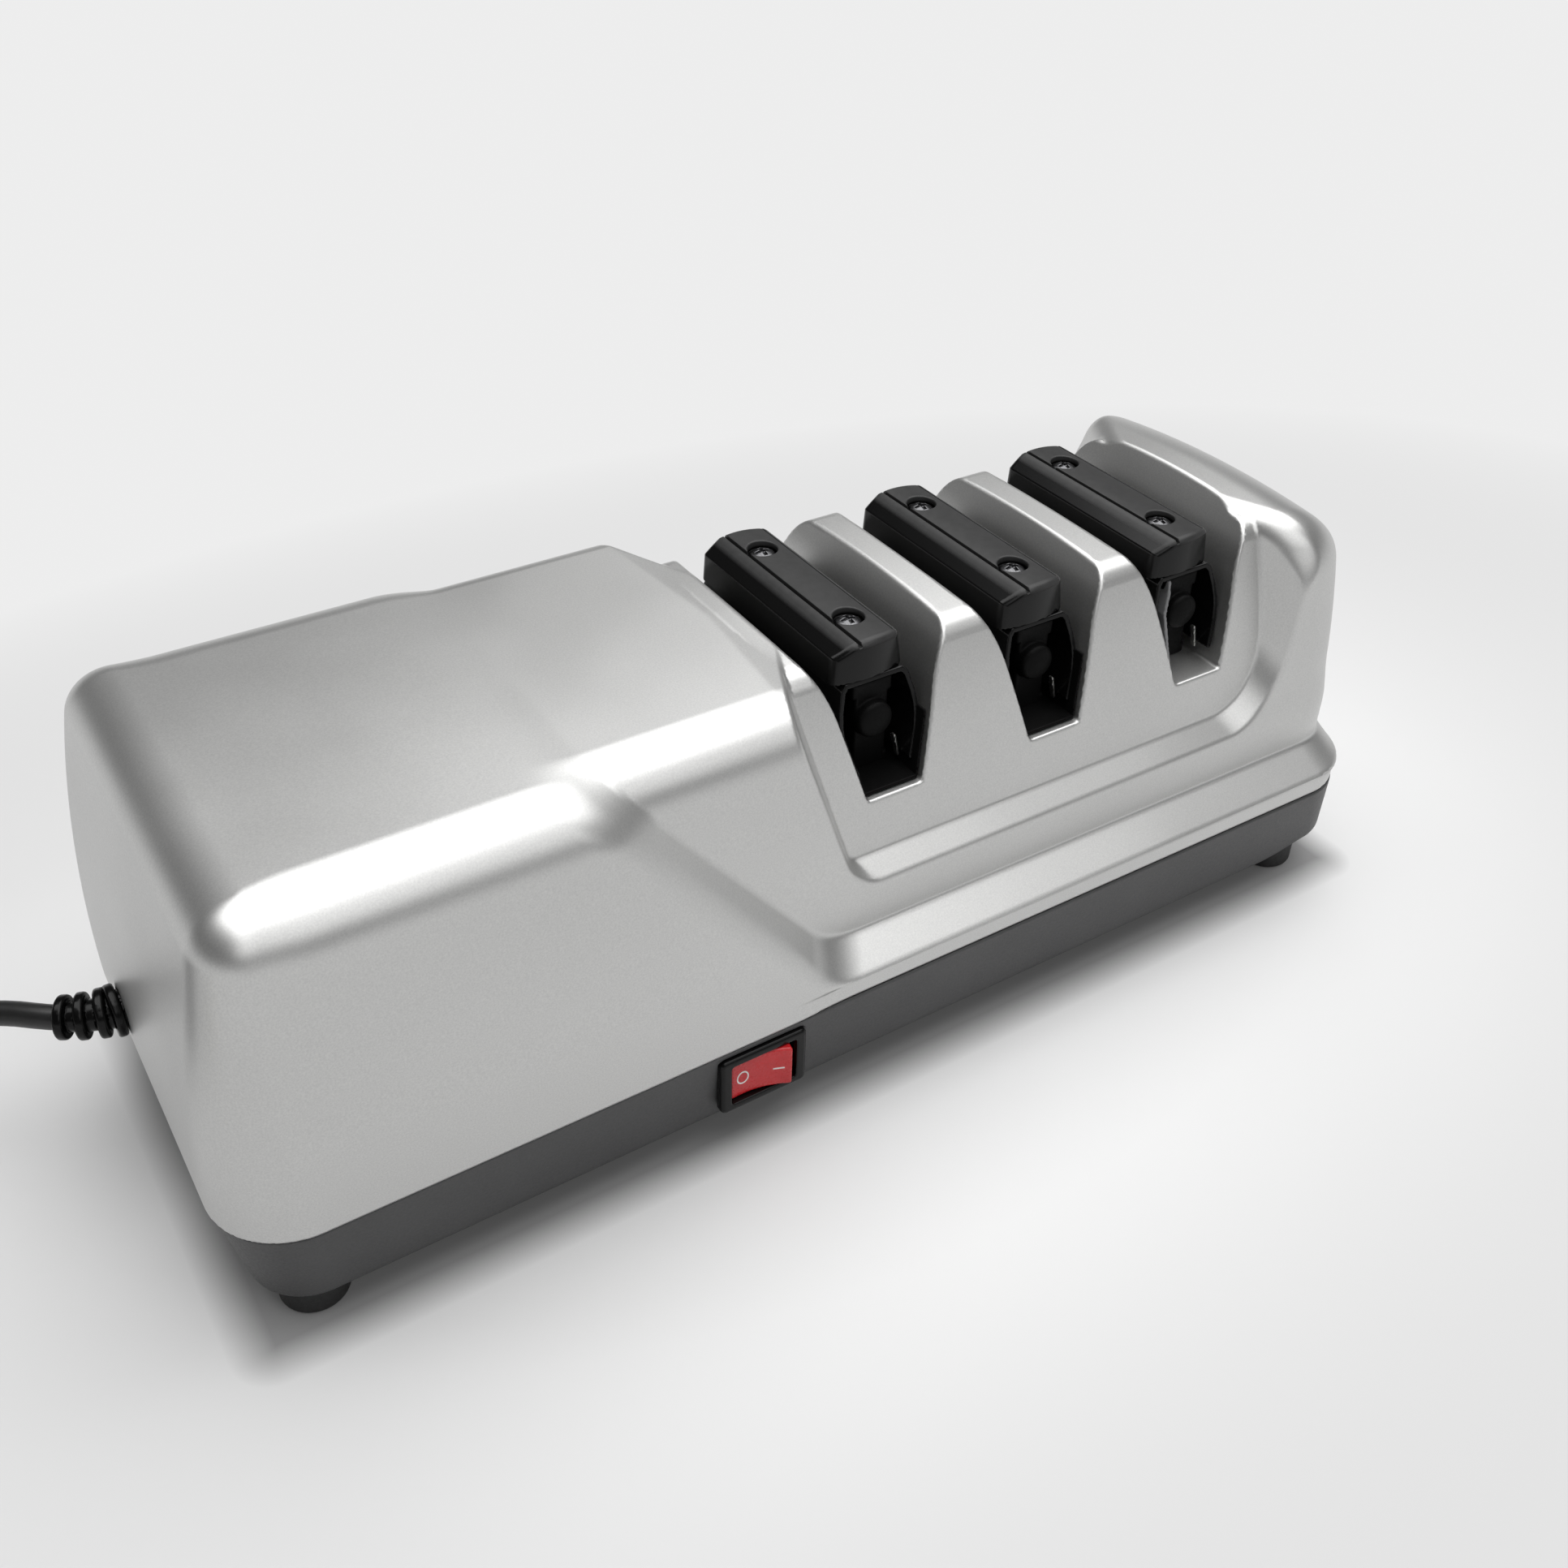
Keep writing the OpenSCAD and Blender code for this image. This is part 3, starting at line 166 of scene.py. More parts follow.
class Nodes:
    """A node tree that grows by short calls."""

    def __init__(self, tree):
        self.tree = tree

    def node(self, kind, inputs=(), **settings):
        """New node, with what goes into its sockets by their names or numbers."""
        made = self.tree.nodes.new(kind)
        for name, value in settings.items():
            setattr(made, name, value)
        for key, value in dict(inputs).items():
            self.put(made.inputs[key], value)
        return made

    def put(self, socket, value):
        """Links a socket to another node's output, or gives it a value."""
        if isinstance(value, bpy.types.NodeSocket):
            self.tree.links.new(value, socket)
        else:
            socket.default_value = (*value, 1) if socket.type == "RGBA" else value

    def between(self, factor, low, high, from_low=0.3, from_high=0.7):
        """Value that goes from low to high as the factor goes from from_low to from_high."""
        inputs = {"Value": factor, "From Min": from_low, "From Max": from_high,
                  "To Min": low, "To Max": high}
        return self.node("ShaderNodeMapRange", inputs).outputs["Result"]

    def blend(self, factor, a, b):
        mix = self.node("ShaderNodeMix", {"Factor": factor, MIX_A: a, MIX_B: b}, data_type="RGBA")
        return mix.outputs[MIX_RESULT]

    def math(self, operation, *values):
        return self.node("ShaderNodeMath", enumerate(values), operation=operation).outputs[0]

    def vector(self, operation, *values):
        return self.node("ShaderNodeVectorMath", enumerate(values), operation=operation).outputs


class Look(Nodes):
    """A material with patterns laid out in the object's own metres.

    Its color and rough are plain values until patterns take their place.
    """

    def __init__(self, name, color, rough, metal=0.0, **sockets):
        self.material = bpy.data.materials.new(name)
        self.material.use_nodes = True
        super().__init__(self.material.node_tree)
        self.shader = self.tree.nodes["Principled BSDF"]
        self.place = self.node("ShaderNodeTexCoord").outputs["Object"]
        self.set("Base Color", color)
        self.set("Roughness", rough)
        self.set("Metallic", metal)
        for socket, value in sockets.items():
            self.set(socket.replace("_", " "), value)

    def set(self, name, value):
        self.put(self.shader.inputs[name], value)

    def noise(self, grain_mm, detail=2.0, stretch=None):
        """Soft clouds about grain_mm across."""
        place = self.stretched(stretch) if stretch else self.place
        inputs = {"Vector": place, "Scale": 1 / (grain_mm * MM), "Detail": detail}
        return self.node("ShaderNodeTexNoise", inputs).outputs["Fac"]

    def cells(self, grain_mm):
        """Grains about grain_mm across, lowest in their middles."""
        inputs = {"Vector": self.place, "Scale": 1 / (grain_mm * MM)}
        return self.node("ShaderNodeTexVoronoi", inputs).outputs["Distance"]

    def stretched(self, scale):
        return self.node("ShaderNodeMapping", {"Vector": self.place, "Scale": scale}).outputs["Vector"]

    def tint(self, pattern, low, high, *span):
        """Base colour that goes from low to high with a pattern."""
        self.set("Base Color", self.blend(self.between(pattern, 0, 1, *span), low, high))

    def roughen(self, pattern, low, high, *span):
        self.set("Roughness", self.between(pattern, low, high, *span))

    def bump(self, height, depth_mm):
        bump = self.node("ShaderNodeBump", {"Height": height, "Distance": depth_mm * MM})
        self.set("Normal", bump.outputs["Normal"])


def grey(tone):
    return (tone, tone, tone)


def silver_paint(name):
    look = Look(name, (0.7, 0.7, 0.69), 0.4, 0.96)
    flake = look.noise(0.35, 3)
    look.tint(flake, (0.54, 0.54, 0.535), (0.62, 0.62, 0.61))
    look.roughen(look.noise(40, 2), 0.37, 0.42)
    look.bump(flake, 0.004)
    return look.material


def grey_plastic(name):
    look = Look(name, grey(0.07), 0.5)
    grain = look.noise(0.5, 4)
    look.tint(look.noise(25), (0.05, 0.05, 0.051), (0.062, 0.062, 0.063))
    look.roughen(grain, 0.42, 0.55)
    look.bump(grain, 0.02)
    return look.material


def gloss_black(name, rough, shine):
    """Deep glossy black: nearly all of its tone is a reflection."""
    look = Look(name, grey(0.003), rough, Specular_IOR_Level=shine)
    grain = look.noise(0.6, 3)
    look.tint(look.noise(12), grey(0.0015), grey(0.004))
    look.roughen(grain, rough * 0.85, rough * 1.2)
    look.bump(grain, 0.003)
    return look.material


def bar_black():
    """Guide bars: deep black sides, and a top a little duller, whose greyer colour is a painted sheen."""
    look = Look("bar_black", grey(0.003), 0.2, Specular_IOR_Level=0.25)
    height = look.node("ShaderNodeSeparateXYZ", {0: look.place}).outputs["Z"]
    on_top = look.between(height, 0, 1, 97.1 * MM, 97.7 * MM)
    # Painted sheen: the top's colour is greyer than the sides, with faint random clouds
    top_sheen = look.blend(look.between(look.noise(2, 4), 0, 1), grey(0.03), grey(0.038))
    look.set("Base Color", look.blend(on_top, grey(0.001), top_sheen))
    look.roughen(on_top, 0.22, 0.36, 0, 1)
    look.bump(look.noise(0.6, 3), 0.003)
    return look.material


def dull_black(name, low, high):
    look = Look(name, grey(0.02), 0.6)
    grain = look.noise(0.8, 4)
    look.tint(grain, grey(low), grey(high))
    look.roughen(look.noise(6), 0.5, 0.7)
    look.bump(grain, 0.02)
    return look.material


def bright_metal(name, low, high, rough, grain_mm=0.4):
    """Metal brushed along y and z, its grain drawn out to many times its width."""
    look = Look(name, high, rough, 1.0)
    brush = look.noise(grain_mm, 3, stretch=(1.0, 0.06, 0.06))
    look.tint(brush, low, high)
    look.roughen(brush, rough * 0.8, rough * 1.25)
    look.bump(brush, 0.003)
    return look.material


def moulded(name, low, high, rough, grain_mm=1.0, depth_mm=0.01):
    """Moulded plastic or cast metal: a fine grain, and broader clouds in its colour."""
    look = Look(name, high, rough)
    grain = look.noise(grain_mm, 3)
    look.tint(look.noise(grain_mm * 12), low, high)
    look.roughen(grain, rough * 0.85, rough * 1.15)
    look.bump(grain, depth_mm)
    return look.material


def abrasive(name, low, high, grit_mm):
    look = Look(name, high, 0.7, 0.3)
    grit = look.cells(grit_mm)
    look.tint(grit, low, high, 0.1, 0.9)
    look.roughen(grit, 0.5, 0.9, 0.1, 0.9)
    look.bump(grit, grit_mm * 0.5)
    return look.material


SLOT_LOOKS = {name: make(name, *values) for make, name, *values in (
    (silver_paint, "silver_paint"),
    (grey_plastic, "grey_plastic"),
    (dull_black, "foot_rubber", 0.012, 0.022),
    (gloss_black, "black_plastic", 0.22, 0.2),
    (bright_metal, "zinc_steel", (0.5, 0.5, 0.48), (0.66, 0.66, 0.63), 0.32),
    (moulded, "frame_metal", (0.16, 0.16, 0.165), (0.22, 0.22, 0.225), 0.45),
    (bright_metal, "shaft_steel", (0.5, 0.5, 0.52), (0.62, 0.62, 0.64), 0.22),
    (abrasive, "abrasive_coarse", grey(0.1), grey(0.3), 0.35),
    (abrasive, "abrasive_fine", grey(0.16), grey(0.34), 0.2),
    (abrasive, "abrasive_polish", (0.4, 0.36, 0.3), (0.6, 0.56, 0.48), 0.12),
    (moulded, "inner_plastic", (0.02, 0.02, 0.022), (0.035, 0.035, 0.037), 0.55),
    (bright_metal, "bronze", (0.5, 0.33, 0.15), (0.62, 0.43, 0.22), 0.35),
    (bright_metal, "lamination", (0.22, 0.22, 0.24), (0.34, 0.34, 0.36), 0.45, 0.5),
    (bright_metal, "copper_wire", (0.45, 0.17, 0.06), (0.68, 0.3, 0.12), 0.35, 0.8),
    (bright_metal, "bracket_alloy", (0.42, 0.42, 0.43), (0.55, 0.55, 0.56), 0.5, 1.0),
    (moulded, "fan_plastic", (0.68, 0.68, 0.62), (0.76, 0.76, 0.7), 0.5),
    (moulded, "red_plastic", (0.46, 0.01, 0.014), (0.55, 0.016, 0.02), 0.28, 0.8, 0.001),
    (bright_metal, "brass_plate", (0.6, 0.5, 0.24), (0.72, 0.62, 0.34), 0.28),
    (moulded, "lead_vinyl", (0.02, 0.05, 0.25), (0.03, 0.07, 0.32), 0.4),
    (moulded, "cord_vinyl", grey(0.008), grey(0.016), 0.38, 0.7, 0.012),
)}

# Looks of single pieces that differ from their slot's look
BAR_BLACK = bar_black()
# Painted shade: a near-black look for the stage frames, in place of their slot's grey, and for the black
# sheets in the notches
SHADE_BLACK = gloss_black("shade_black", 0.5, 0.08)
DARK_STEEL = bright_metal("dark_steel", (0.09, 0.09, 0.095), (0.16, 0.16, 0.165), 0.3)
WHITE_MARK = moulded("white_mark", (0.74, 0.74, 0.72), (0.82, 0.82, 0.8), 0.4, 0.5, 0.002)


def paint(piece, look):
    piece.data.materials.clear()
    piece.data.materials.append(look)


def paint_nodes():
    """Gives every node of the CAD the look of its slot."""
    for row in frame["record"]["subparts"]:
        paint(frame["nodes"][row["node"]], SLOT_LOOKS[row["material_slot"]])


def dress(piece, slot, nodes=(), body="base", look=None):
    """Body, stand-ins and look of a new piece; the look is its slot's unless one is given."""
    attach(piece, body)
    if nodes:
        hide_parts(*nodes)
    paint(piece, look or SLOT_LOOKS[slot])


# Shapes from distance fields. A field takes arrays x, y, z in millimetres and is negative inside.

def cut_round(a, b, r):
    """Intersection of two fields, its edge rounded to radius r."""
    return np.minimum(np.maximum(a, b), -r) + np.hypot(np.maximum(a + r, 0), np.maximum(b + r, 0))


def join_round(a, b, r):
    """Union of two fields, its inner corner filled to radius r."""
    return -cut_round(-a, -b, r)


def carve(a, b, r):
    """Field a without field b, its edge rounded to radius r."""
    return cut_round(a, -b, r)


# Intersection and union of two fields with sharp edges
meet, join = np.maximum, np.minimum


def soft_min(a, b, k):
    """Smaller of two values, blended where they differ by less than k."""
    h = np.clip(0.5 + 0.5 * (b - a) / k, 0, 1)
    return b + (a - b) * h - k * h * (1 - h)


def soft_max(a, b, k):
    return -soft_min(-a, -b, k)


def ramp(v, start, end):
    """0 before start, 1 past end, and an even curve between them."""
    t = np.clip((v - start) / (end - start), 0, 1)
    return t * t * (3 - 2 * t)


def box_field(x, y, z, low, high, r):
    """Box between two corners, its edges rounded to radius r."""
    across = [np.abs(v - (a + b) / 2) - (b - a) / 2 for v, a, b in zip((x, y, z), low, high)]
    return cut_round(cut_round(across[0], across[1], r), across[2], r)


def rod_field(along, u, v, start, end, radius, r=0.3):
    """Round rod between start and end, where u and v are the distances from its axis."""
    return cut_round(np.hypot(u, v) - radius, np.maximum(start - along, along - end), r)


# A grid is worked out in blocks of 8 cells a side. FAR stands for a place away from every surface.
BLOCK, BLOCKS_AT_ONCE, FAR = 8, 400, 1e3


def at_corners(array, count):
    """Eight views of an array: its values at the corners of every cell."""
    return [array[i:count[0] + i, j:count[1] + j, k:count[2] + k] for i, j, k in product((0, 1), repeat=3)]


def grid_values(field, low, size, cell):
    """Field on a grid, worked out only in blocks that its surface may cross."""
    values = np.full(size, FAR, np.float32)
    count = [-(-(n - 1) // BLOCK) for n in size]
    nodes = np.stack(np.meshgrid(*[np.arange(c + 1) for c in count], indexing="ij"), -1).reshape(-1, 3)
    coarse = field(*(low + nodes * BLOCK * cell).T.astype(np.float32)).reshape([c + 1 for c in count])
    corner = np.stack(at_corners(coarse, count))
    near = np.abs(corner).min(0) < 0.5 * np.ptp(corner, axis=0) + 0.6 * BLOCK * cell
    for i, j, k in np.argwhere(~near & (corner[0] < 0)) * BLOCK:
        values[i:i + BLOCK + 1, j:j + BLOCK + 1, k:k + BLOCK + 1] = -FAR
    step = np.stack(np.meshgrid(*[np.arange(BLOCK + 1)] * 3, indexing="ij"), -1).reshape(-1, 3)
    close = np.argwhere(near)
    for part in np.array_split(close, max(1, len(close) // BLOCKS_AT_ONCE)):
        at = (part[:, None] * BLOCK + step).reshape(-1, 3)
        at = at[(at < size).all(1)]
        values[tuple(at.T)] = field(*(low + at * cell).T.astype(np.float32))
    return values


def field_slope(field, p, step=0.02):
    """Slope of a field at the points p."""
    slope = np.empty_like(p)
    for axis in range(3):
        off = np.zeros(3)
        off[axis] = step
        slope[:, axis] = (field(*(p + off).T) - field(*(p - off).T)) / (2 * step)
    return slope


def mean_crossings(values, cells):
    """Middle of the points where the surface crosses each cell's twelve edges, in grid steps."""
    total, count = np.zeros((len(cells), 3)), np.zeros(len(cells))
    for axis, s, t in product((0, 1, 2), (0, 1), (0, 1)):
        u, v = [n for n in range(3) if n != axis]
        a = cells.copy()
        a[:, u] += s
        a[:, v] += t
        b = a.copy()
        b[:, axis] += 1
        va, vb = values[tuple(a.T)].astype(float), values[tuple(b.T)].astype(float)
        cut = (va < 0) != (vb < 0)
        point = a[cut].astype(float)
        point[:, axis] += va[cut] / (va[cut] - vb[cut])
        total[cut] += point
        count[cut] += 1
    return total / count[:, None]


def settle(field, start, reach):
    """Points moved onto the field's surface, no farther than reach from their start."""
    points = start.copy()
    for _ in range(3):
        slope = field_slope(field, points)
        steps = field(*points.T) / np.maximum((slope ** 2).sum(1), 0.2)
        points = start + np.clip(points - slope * steps[:, None] - start, -reach, reach)
    return points


def surface_faces(inside, number):
    """A face across each grid edge that the surface cuts, between the points of its four cells."""
    faces = []
    for axis in range(3):
        u, v = [n for n in range(3) if n != axis]
        a = inside[tuple(slice(0, -1) if n == axis else slice(1, -1) for n in range(3))]
        b = inside[tuple(slice(1, None) if n == axis else slice(1, -1) for n in range(3))]
        edge = np.argwhere(a != b)
        leaving = a[tuple(edge.T)]
        edge += [0 if n == axis else 1 for n in range(3)]
        ring = []
        for du, dv in ((1, 1), (0, 1), (0, 0), (1, 0)):
            c = edge.copy()
            c[:, u] -= du
            c[:, v] -= dv
            ring.append(number[tuple(c.T)])
        ring = np.stack(ring, 1)
        outward = leaving if axis != 1 else ~leaving
        ring[~outward] = ring[~outward][:, ::-1]
        faces.append(ring)
    return np.vstack(faces)


def surface_of(field, low, high, cell):
    """Points and four-cornered faces of a field's surface: one point in each cell that it crosses."""
    low = np.array(low, float) - 1.5 * cell
    size = np.ceil((np.array(high) + 1.5 * cell - low) / cell).astype(int) + 1
    values = grid_values(field, low, size, cell)
    inside = values < 0
    corner = at_corners(inside, size - 1)
    crossed = np.logical_or.reduce(corner) & ~np.logical_and.reduce(corner)
    cells = np.argwhere(crossed)
    number = np.full(crossed.shape, -1, np.int32)
    number[crossed] = np.arange(len(cells))
    points = settle(field, low + mean_crossings(values, cells) * cell, 0.7 * cell)
    return points, surface_faces(inside, number)


def mesh_object(name, points, faces):
    mesh = bpy.data.meshes.new(name)
    mesh.vertices.add(len(points))
    mesh.vertices.foreach_set("co", (points * MM).astype(np.float32).ravel())
    mesh.loops.add(faces.size)
    mesh.loops.foreach_set("vertex_index", faces.ravel().astype(np.int32))
    mesh.polygons.add(len(faces))
    mesh.polygons.foreach_set("loop_start", np.arange(0, faces.size, faces.shape[1], dtype=np.int32))
    mesh.polygons.foreach_set("use_smooth", np.ones(len(faces), bool))
    mesh.update(calc_edges=True)
    mesh.validate()
    return add_object(name, mesh)


def set_normals(piece, field):
    """Normals straight from the field, so that rounded edges shade cleanly on few faces."""
    mesh = piece.data
    points = np.empty(len(mesh.vertices) * 3, np.float32)
    mesh.vertices.foreach_get("co", points)
    slope = field_slope(field, points.reshape(-1, 3).astype(float) / MM)
    length = np.linalg.norm(slope, axis=1, keepdims=True)
    mesh.normals_split_custom_set_from_vertices((slope / np.maximum(length, 1e-9)).astype(np.float32))


def field_piece(name, field, low, high, cell, keep=1.0):
    """Mesh of a field's surface, thinned out to the share keep of its faces where it is flat."""
    points, faces = surface_of(field, low, high, cell)
    piece = mesh_object(name, points, faces)
    if keep < 1:
        thin = piece.modifiers.new("thin", "DECIMATE")
        thin.ratio = keep
        graph = bpy.context.evaluated_depsgraph_get()
        mesh = bpy.data.meshes.new_from_object(piece.evaluated_get(graph))
        piece.modifiers.clear()
        piece.data = mesh
        mesh.polygons.foreach_set("use_smooth", np.ones(len(mesh.polygons), bool))
    set_normals(piece, field)
    return piece


# Housing. Its fields take w, the distance from the middle plane, where front and back are alike.

SEAM_Z, BLOCK_TOP, MID_TOP, FIN_TOP, CHEEK_TOP = 28.4, 98.5, 97.6, 97.8, 100.0
HALF_W, CORE_HW, CHEEK_END = 52.5, 44.4, 143.5
WALL, LIP_DEPTH = 2.4, 0.7
STRIP_TOP_X, STRIP_LEAN, STRIP_W = -71.5, 0.82, 8.4
FLANGE_EDGE_Z, FLANGE_CREASE_Z = 33.6, 39.2
STAGES = (6.8, 50.3, 93.8)
NOTCH_FLOOR, NOTCH_KNEE, NOTCH_HW, KNEE_HW, MOUTH_HW = 66.0, 90.0, 7.0, 13.3, 18.0
PANEL_FOOT, PANEL_HEAD, PANEL_BULGE = (39.0, 54.3), (28.9, 93.0), 1.2
LEDGE_EDGE = (44.0, 50.4)

# Facets left and right of the panels: outward direction in (x, w, z), and a point
LEFT_FACET = (-0.857, -0.411, -0.31), (-20.4, 44.0, 88.0)
RIGHT_FACET = (0.824, -0.536, -0.183), (113.0, 37.5, 62.0)

# How far the motor end draws in toward its top, and the radii of its corners
LEFT_DRAW, SIDE_DRAW = 9.2, 5.0
CORNER_R, CORNER_R_DROP, TOP_EDGE_R = 17.0, 8.0, 11.0

# Where the core turns into the cheek, and where its top starts to slope down
CHEEK_FROM, CHEEK_FULL, CREASE_X = 96.0, 112.0, -17.3
FRONT_EDGE_R, BACK_EDGE_R = 12.0, 7.0
STAGES_FROM, STAGES_TO = -24.0, 122.0

# Slots in the notches' floors, and the hole for the cord
SLOT_HW, SLOT_HALF_LEN = 8.3, 21.0
OUTLET_R = 4.25


def line_field(w, z, a, b):
    """Distance from the line through a and b in the (w, z) plane, positive on the outer side."""
    dw, dz = b[0] - a[0], b[1] - a[1]
    return ((w - a[0]) * dz - (z - a[1]) * dw) / hypot(dw, dz)


def facet_field(x, w, z, outward, point):
    return sum(n * (v - p) for n, v, p in zip(outward, (x, w, z), point))


def skin_field(x, w, z):
    """Outer skin of the motor end, which runs on as the flange's lower band."""
    t = np.clip((z - SEAM_Z) / (BLOCK_TOP - SEAM_Z), 0, 1)
    left = X_LEFT + LEFT_DRAW * t ** 1.9
    side = HALF_W - SIDE_DRAW * t ** 3.2
    left_end = cut_round(left - x, w - side, CORNER_R - CORNER_R_DROP * t)
    right_end = cut_round(x - X_RIGHT, w - side, CORNER_R)
    plan = np.where(x < 0, left_end, right_end)
    return cut_round(plan, z - BLOCK_TOP, TOP_EDGE_R - 3 * ramp(x, -118, -138))


def core_field(x, y, z):
    """Narrower core: the middle block, and the cheek with its crowned top and its rounder front."""
    w = np.abs(y)
    cheek = ramp(x, CHEEK_FROM, CHEEK_FULL)
    t = np.clip((z - SEAM_Z) / (MID_TOP - SEAM_Z), 0, 1)
    high = np.clip((z - 50) / 50, 0, 1)
    lean = np.where(y < 0, 2.4, 0.6)
    side = CORE_HW - 1.6 * t ** 3 - cheek * (1.2 * ramp(z, 46, 60) + lean * high ** 2)
    crease = CREASE_X - 0.1 * w
    mid_top = MID_TOP - 0.1 * soft_max(x - crease, 0, 0.6)
    top = mid_top + cheek * (CHEEK_TOP - 0.002 * w * w - mid_top)
    edge = np.where(y < 0, FRONT_EDGE_R, BACK_EDGE_R)
    end = x - CHEEK_END + 2.5 * high ** 2
    return cut_round(cut_round(w - side, z - top, edge), end, 16 + 6 * high)


def pocket_field(x, w, z):
    """Room in the core for the leaning panels, bounded below, on the left and on the right."""
    below = -line_field(w, z, LEDGE_EDGE, PANEL_FOOT)
    left = facet_field(x, w, z, *LEFT_FACET)
    right = facet_field(x, w, z, *RIGHT_FACET)
    deep = np.clip((w - 39) / 5, 0, 1)
    return cut_round(cut_round(below, left, 1.5 + 4 * deep), right, 11)


def stage_field(x, w, z):
    """Leaning panels with their bulge, and the fins' crown, which steps down to the left."""
    crown = FIN_TOP - 0.8 * ramp(x, 5, -5) - 8 * ramp(x, -15, -21)
    bulge = PANEL_BULGE * (1 - np.clip((z - 74) / 20, -1, 1) ** 2)
    lean = line_field(w, z, PANEL_FOOT, PANEL_HEAD) - bulge
    body = cut_round(lean, z - crown + 0.0012 * w * w - 0.2, 4)
    return meet(body, meet(STAGES_FROM - x, x - STAGES_TO))


def notch_field(x, z, mid):
    """Notch through the panels: sloping walls with a knee, and rounded lips at its mouth."""
    u = np.abs(x - mid)
    lower = line_field(u, z, (NOTCH_HW, NOTCH_FLOOR), (KNEE_HW, NOTCH_KNEE))
    upper = line_field(u, z, (KNEE_HW, NOTCH_KNEE), (MOUTH_HW, FIN_TOP))
    return cut_round(soft_min(lower, upper, 1.5), NOTCH_FLOOR - z, 0.8)


def solid_field(x, y, z):
    """Housing without its hollow. Across strip and flange, u leads from the skin to the core."""
    w = np.abs(y)
    step = np.minimum((x - STRIP_TOP_X - (BLOCK_TOP - z) * STRIP_LEAN) / STRIP_W, 9)
    rise = (z - FLANGE_EDGE_Z) / (FLANGE_CREASE_Z - FLANGE_EDGE_Z)
    u = soft_min(step, rise, 1.0)
    flange = ramp(x, -30, -12)
    u = soft_max(soft_min(u, 1, 0.12), 0, 0.5 - 0.36 * flange)
    core = core_field(x, y, z)
    core = carve(core, pocket_field(x, w, z), 0.8 + 4 * ramp(z, 82, 92) * ramp(x, 100, 112))
    core = join_round(core, stage_field(x, w, z), 0.5)
    lip = LIP_DEPTH * flange * ramp(z, FLANGE_EDGE_Z - 0.2, FLANGE_EDGE_Z - 0.9)
    body = (skin_field(x, w, z) + lip) * (1 - u) + core * u
    body = cut_round(body, SEAM_Z - z, 0.5)
    for mid in STAGES:
        body = carve(body, notch_field(x, z, mid), 0.6)
    return body


def housing_field(x, y, z):
    """Shell of even thickness, open below, with its slots and the hole for the cord."""
    solid = solid_field(x, y, z)
    body = meet(solid, -(solid + WALL))
    for mid in STAGES:
        low = (mid - SLOT_HW, -SLOT_HALF_LEN, NOTCH_FLOOR - 8)
        high = (mid + SLOT_HW, SLOT_HALF_LEN, NOTCH_FLOOR + 3)
        body = carve(body, box_field(x, y, z, low, high, 0.3), 0.3)
    body = np.where(z < SEAM_Z + 8, meet(body, SEAM_Z - z), body)
    outlet = np.hypot(y - OUTLET[1], z - OUTLET[2]) - OUTLET_R
    return carve(body, meet(outlet, x - X_LEFT - 12), 0.3)


def build_housing():
    low, high = (X_LEFT, -HALF_W, SEAM_Z), (X_RIGHT, HALF_W, CHEEK_TOP)
    cell = 0.7
    housing = field_piece("housing", housing_field, low, high, cell, keep=0.205)
    dress(housing, "silver_paint", ["upper_housing"])


# Pieces around the stages. Their fields take u, measured across a stage from its middle.

BAR_BOTTOM, BAR_TOP, BAR_HALF_LEN, SCREW_Y = 89.6, 98.6, 27.5, 16.8
BEAM_LOW, BEAM_HIGH = 84.4, 88.4
GROOVE_U, SEAM_U = -3.9, 5.1

# Lines of the bar's section: its leaning right side, its left side, and the bevel above that
BAR_RIGHT = (8.4, BAR_BOTTOM), (6.6, 97.4)
BAR_LEFT = (10.5, BAR_BOTTOM), (9.9, 95.8)
BAR_BEVEL = (9.9, 95.8), (6.5, 97.6)

# Screws of the bars: half widths, then heights, then the holes and pockets they sit in
SCREW_R, SHANK_R, CROSS_HW, CROSS_LEN = 2.85, 1.4, 0.4, 1.6
SCREW_LOW, HEAD_LOW, CROSS_LOW, SCREW_TOP = 85.0, 96.75, 97.2, 98.1
HOLE_R, POCKET_R, POCKET_LOW = 1.7, 3.4, 96.7


def groove(field, u, mid, below_top, width, depth):
    """Field with a narrow groove in its top, which runs from front to back."""
    return carve(field, meet(np.abs(u - mid) - width / 2, below_top - depth), 0.12)


def bar_field(u, y, z):
    """Guide bar with a leaning right side, crowned top, bevel, grooves, and pockets for its screws."""
    top = z - BAR_TOP + 0.013 * u * u
    right = line_field(u, z, *BAR_RIGHT)
    left = line_field(-u, z, *BAR_LEFT)
    bevel = line_field(-u, z, *BAR_BEVEL)
    body = cut_round(cut_round(cut_round(right, top, 1.2), left, 0.5), bevel, 0.25)
    body = cut_round(body, np.abs(y) - BAR_HALF_LEN + 0.02 * (u + 2) ** 2, 1.6)
    body = groove(body, u, GROOVE_U, -top, 0.7, 1.0)
    body = groove(body, u, SEAM_U, -top, 0.3, 0.2)
    pocket = meet(np.hypot(u, np.abs(y) - SCREW_Y) - POCKET_R, POCKET_LOW - z)
    return meet(carve(body, pocket, 0.35), BAR_BOTTOM - z)


def screw_field(u, y, z):
    """Dome-headed screw with a cross slot, over a thin shank."""
    v = np.abs(y) - SCREW_Y
    r = np.hypot(u, v)
    dome = cut_round(r - SCREW_R, z - SCREW_TOP + 0.11 * r * r, 0.35)
    cross = join(meet(np.abs(u) - CROSS_HW, np.abs(v) - CROSS_LEN),
                 meet(np.abs(v) - CROSS_HW, np.abs(u) - CROSS_LEN))
    head = carve(meet(dome, HEAD_LOW - z), meet(cross, CROSS_LOW - z), 0.12)
    shank = meet(r - SHANK_R, meet(SCREW_LOW - z, z - 97))
    return join(head, shank)


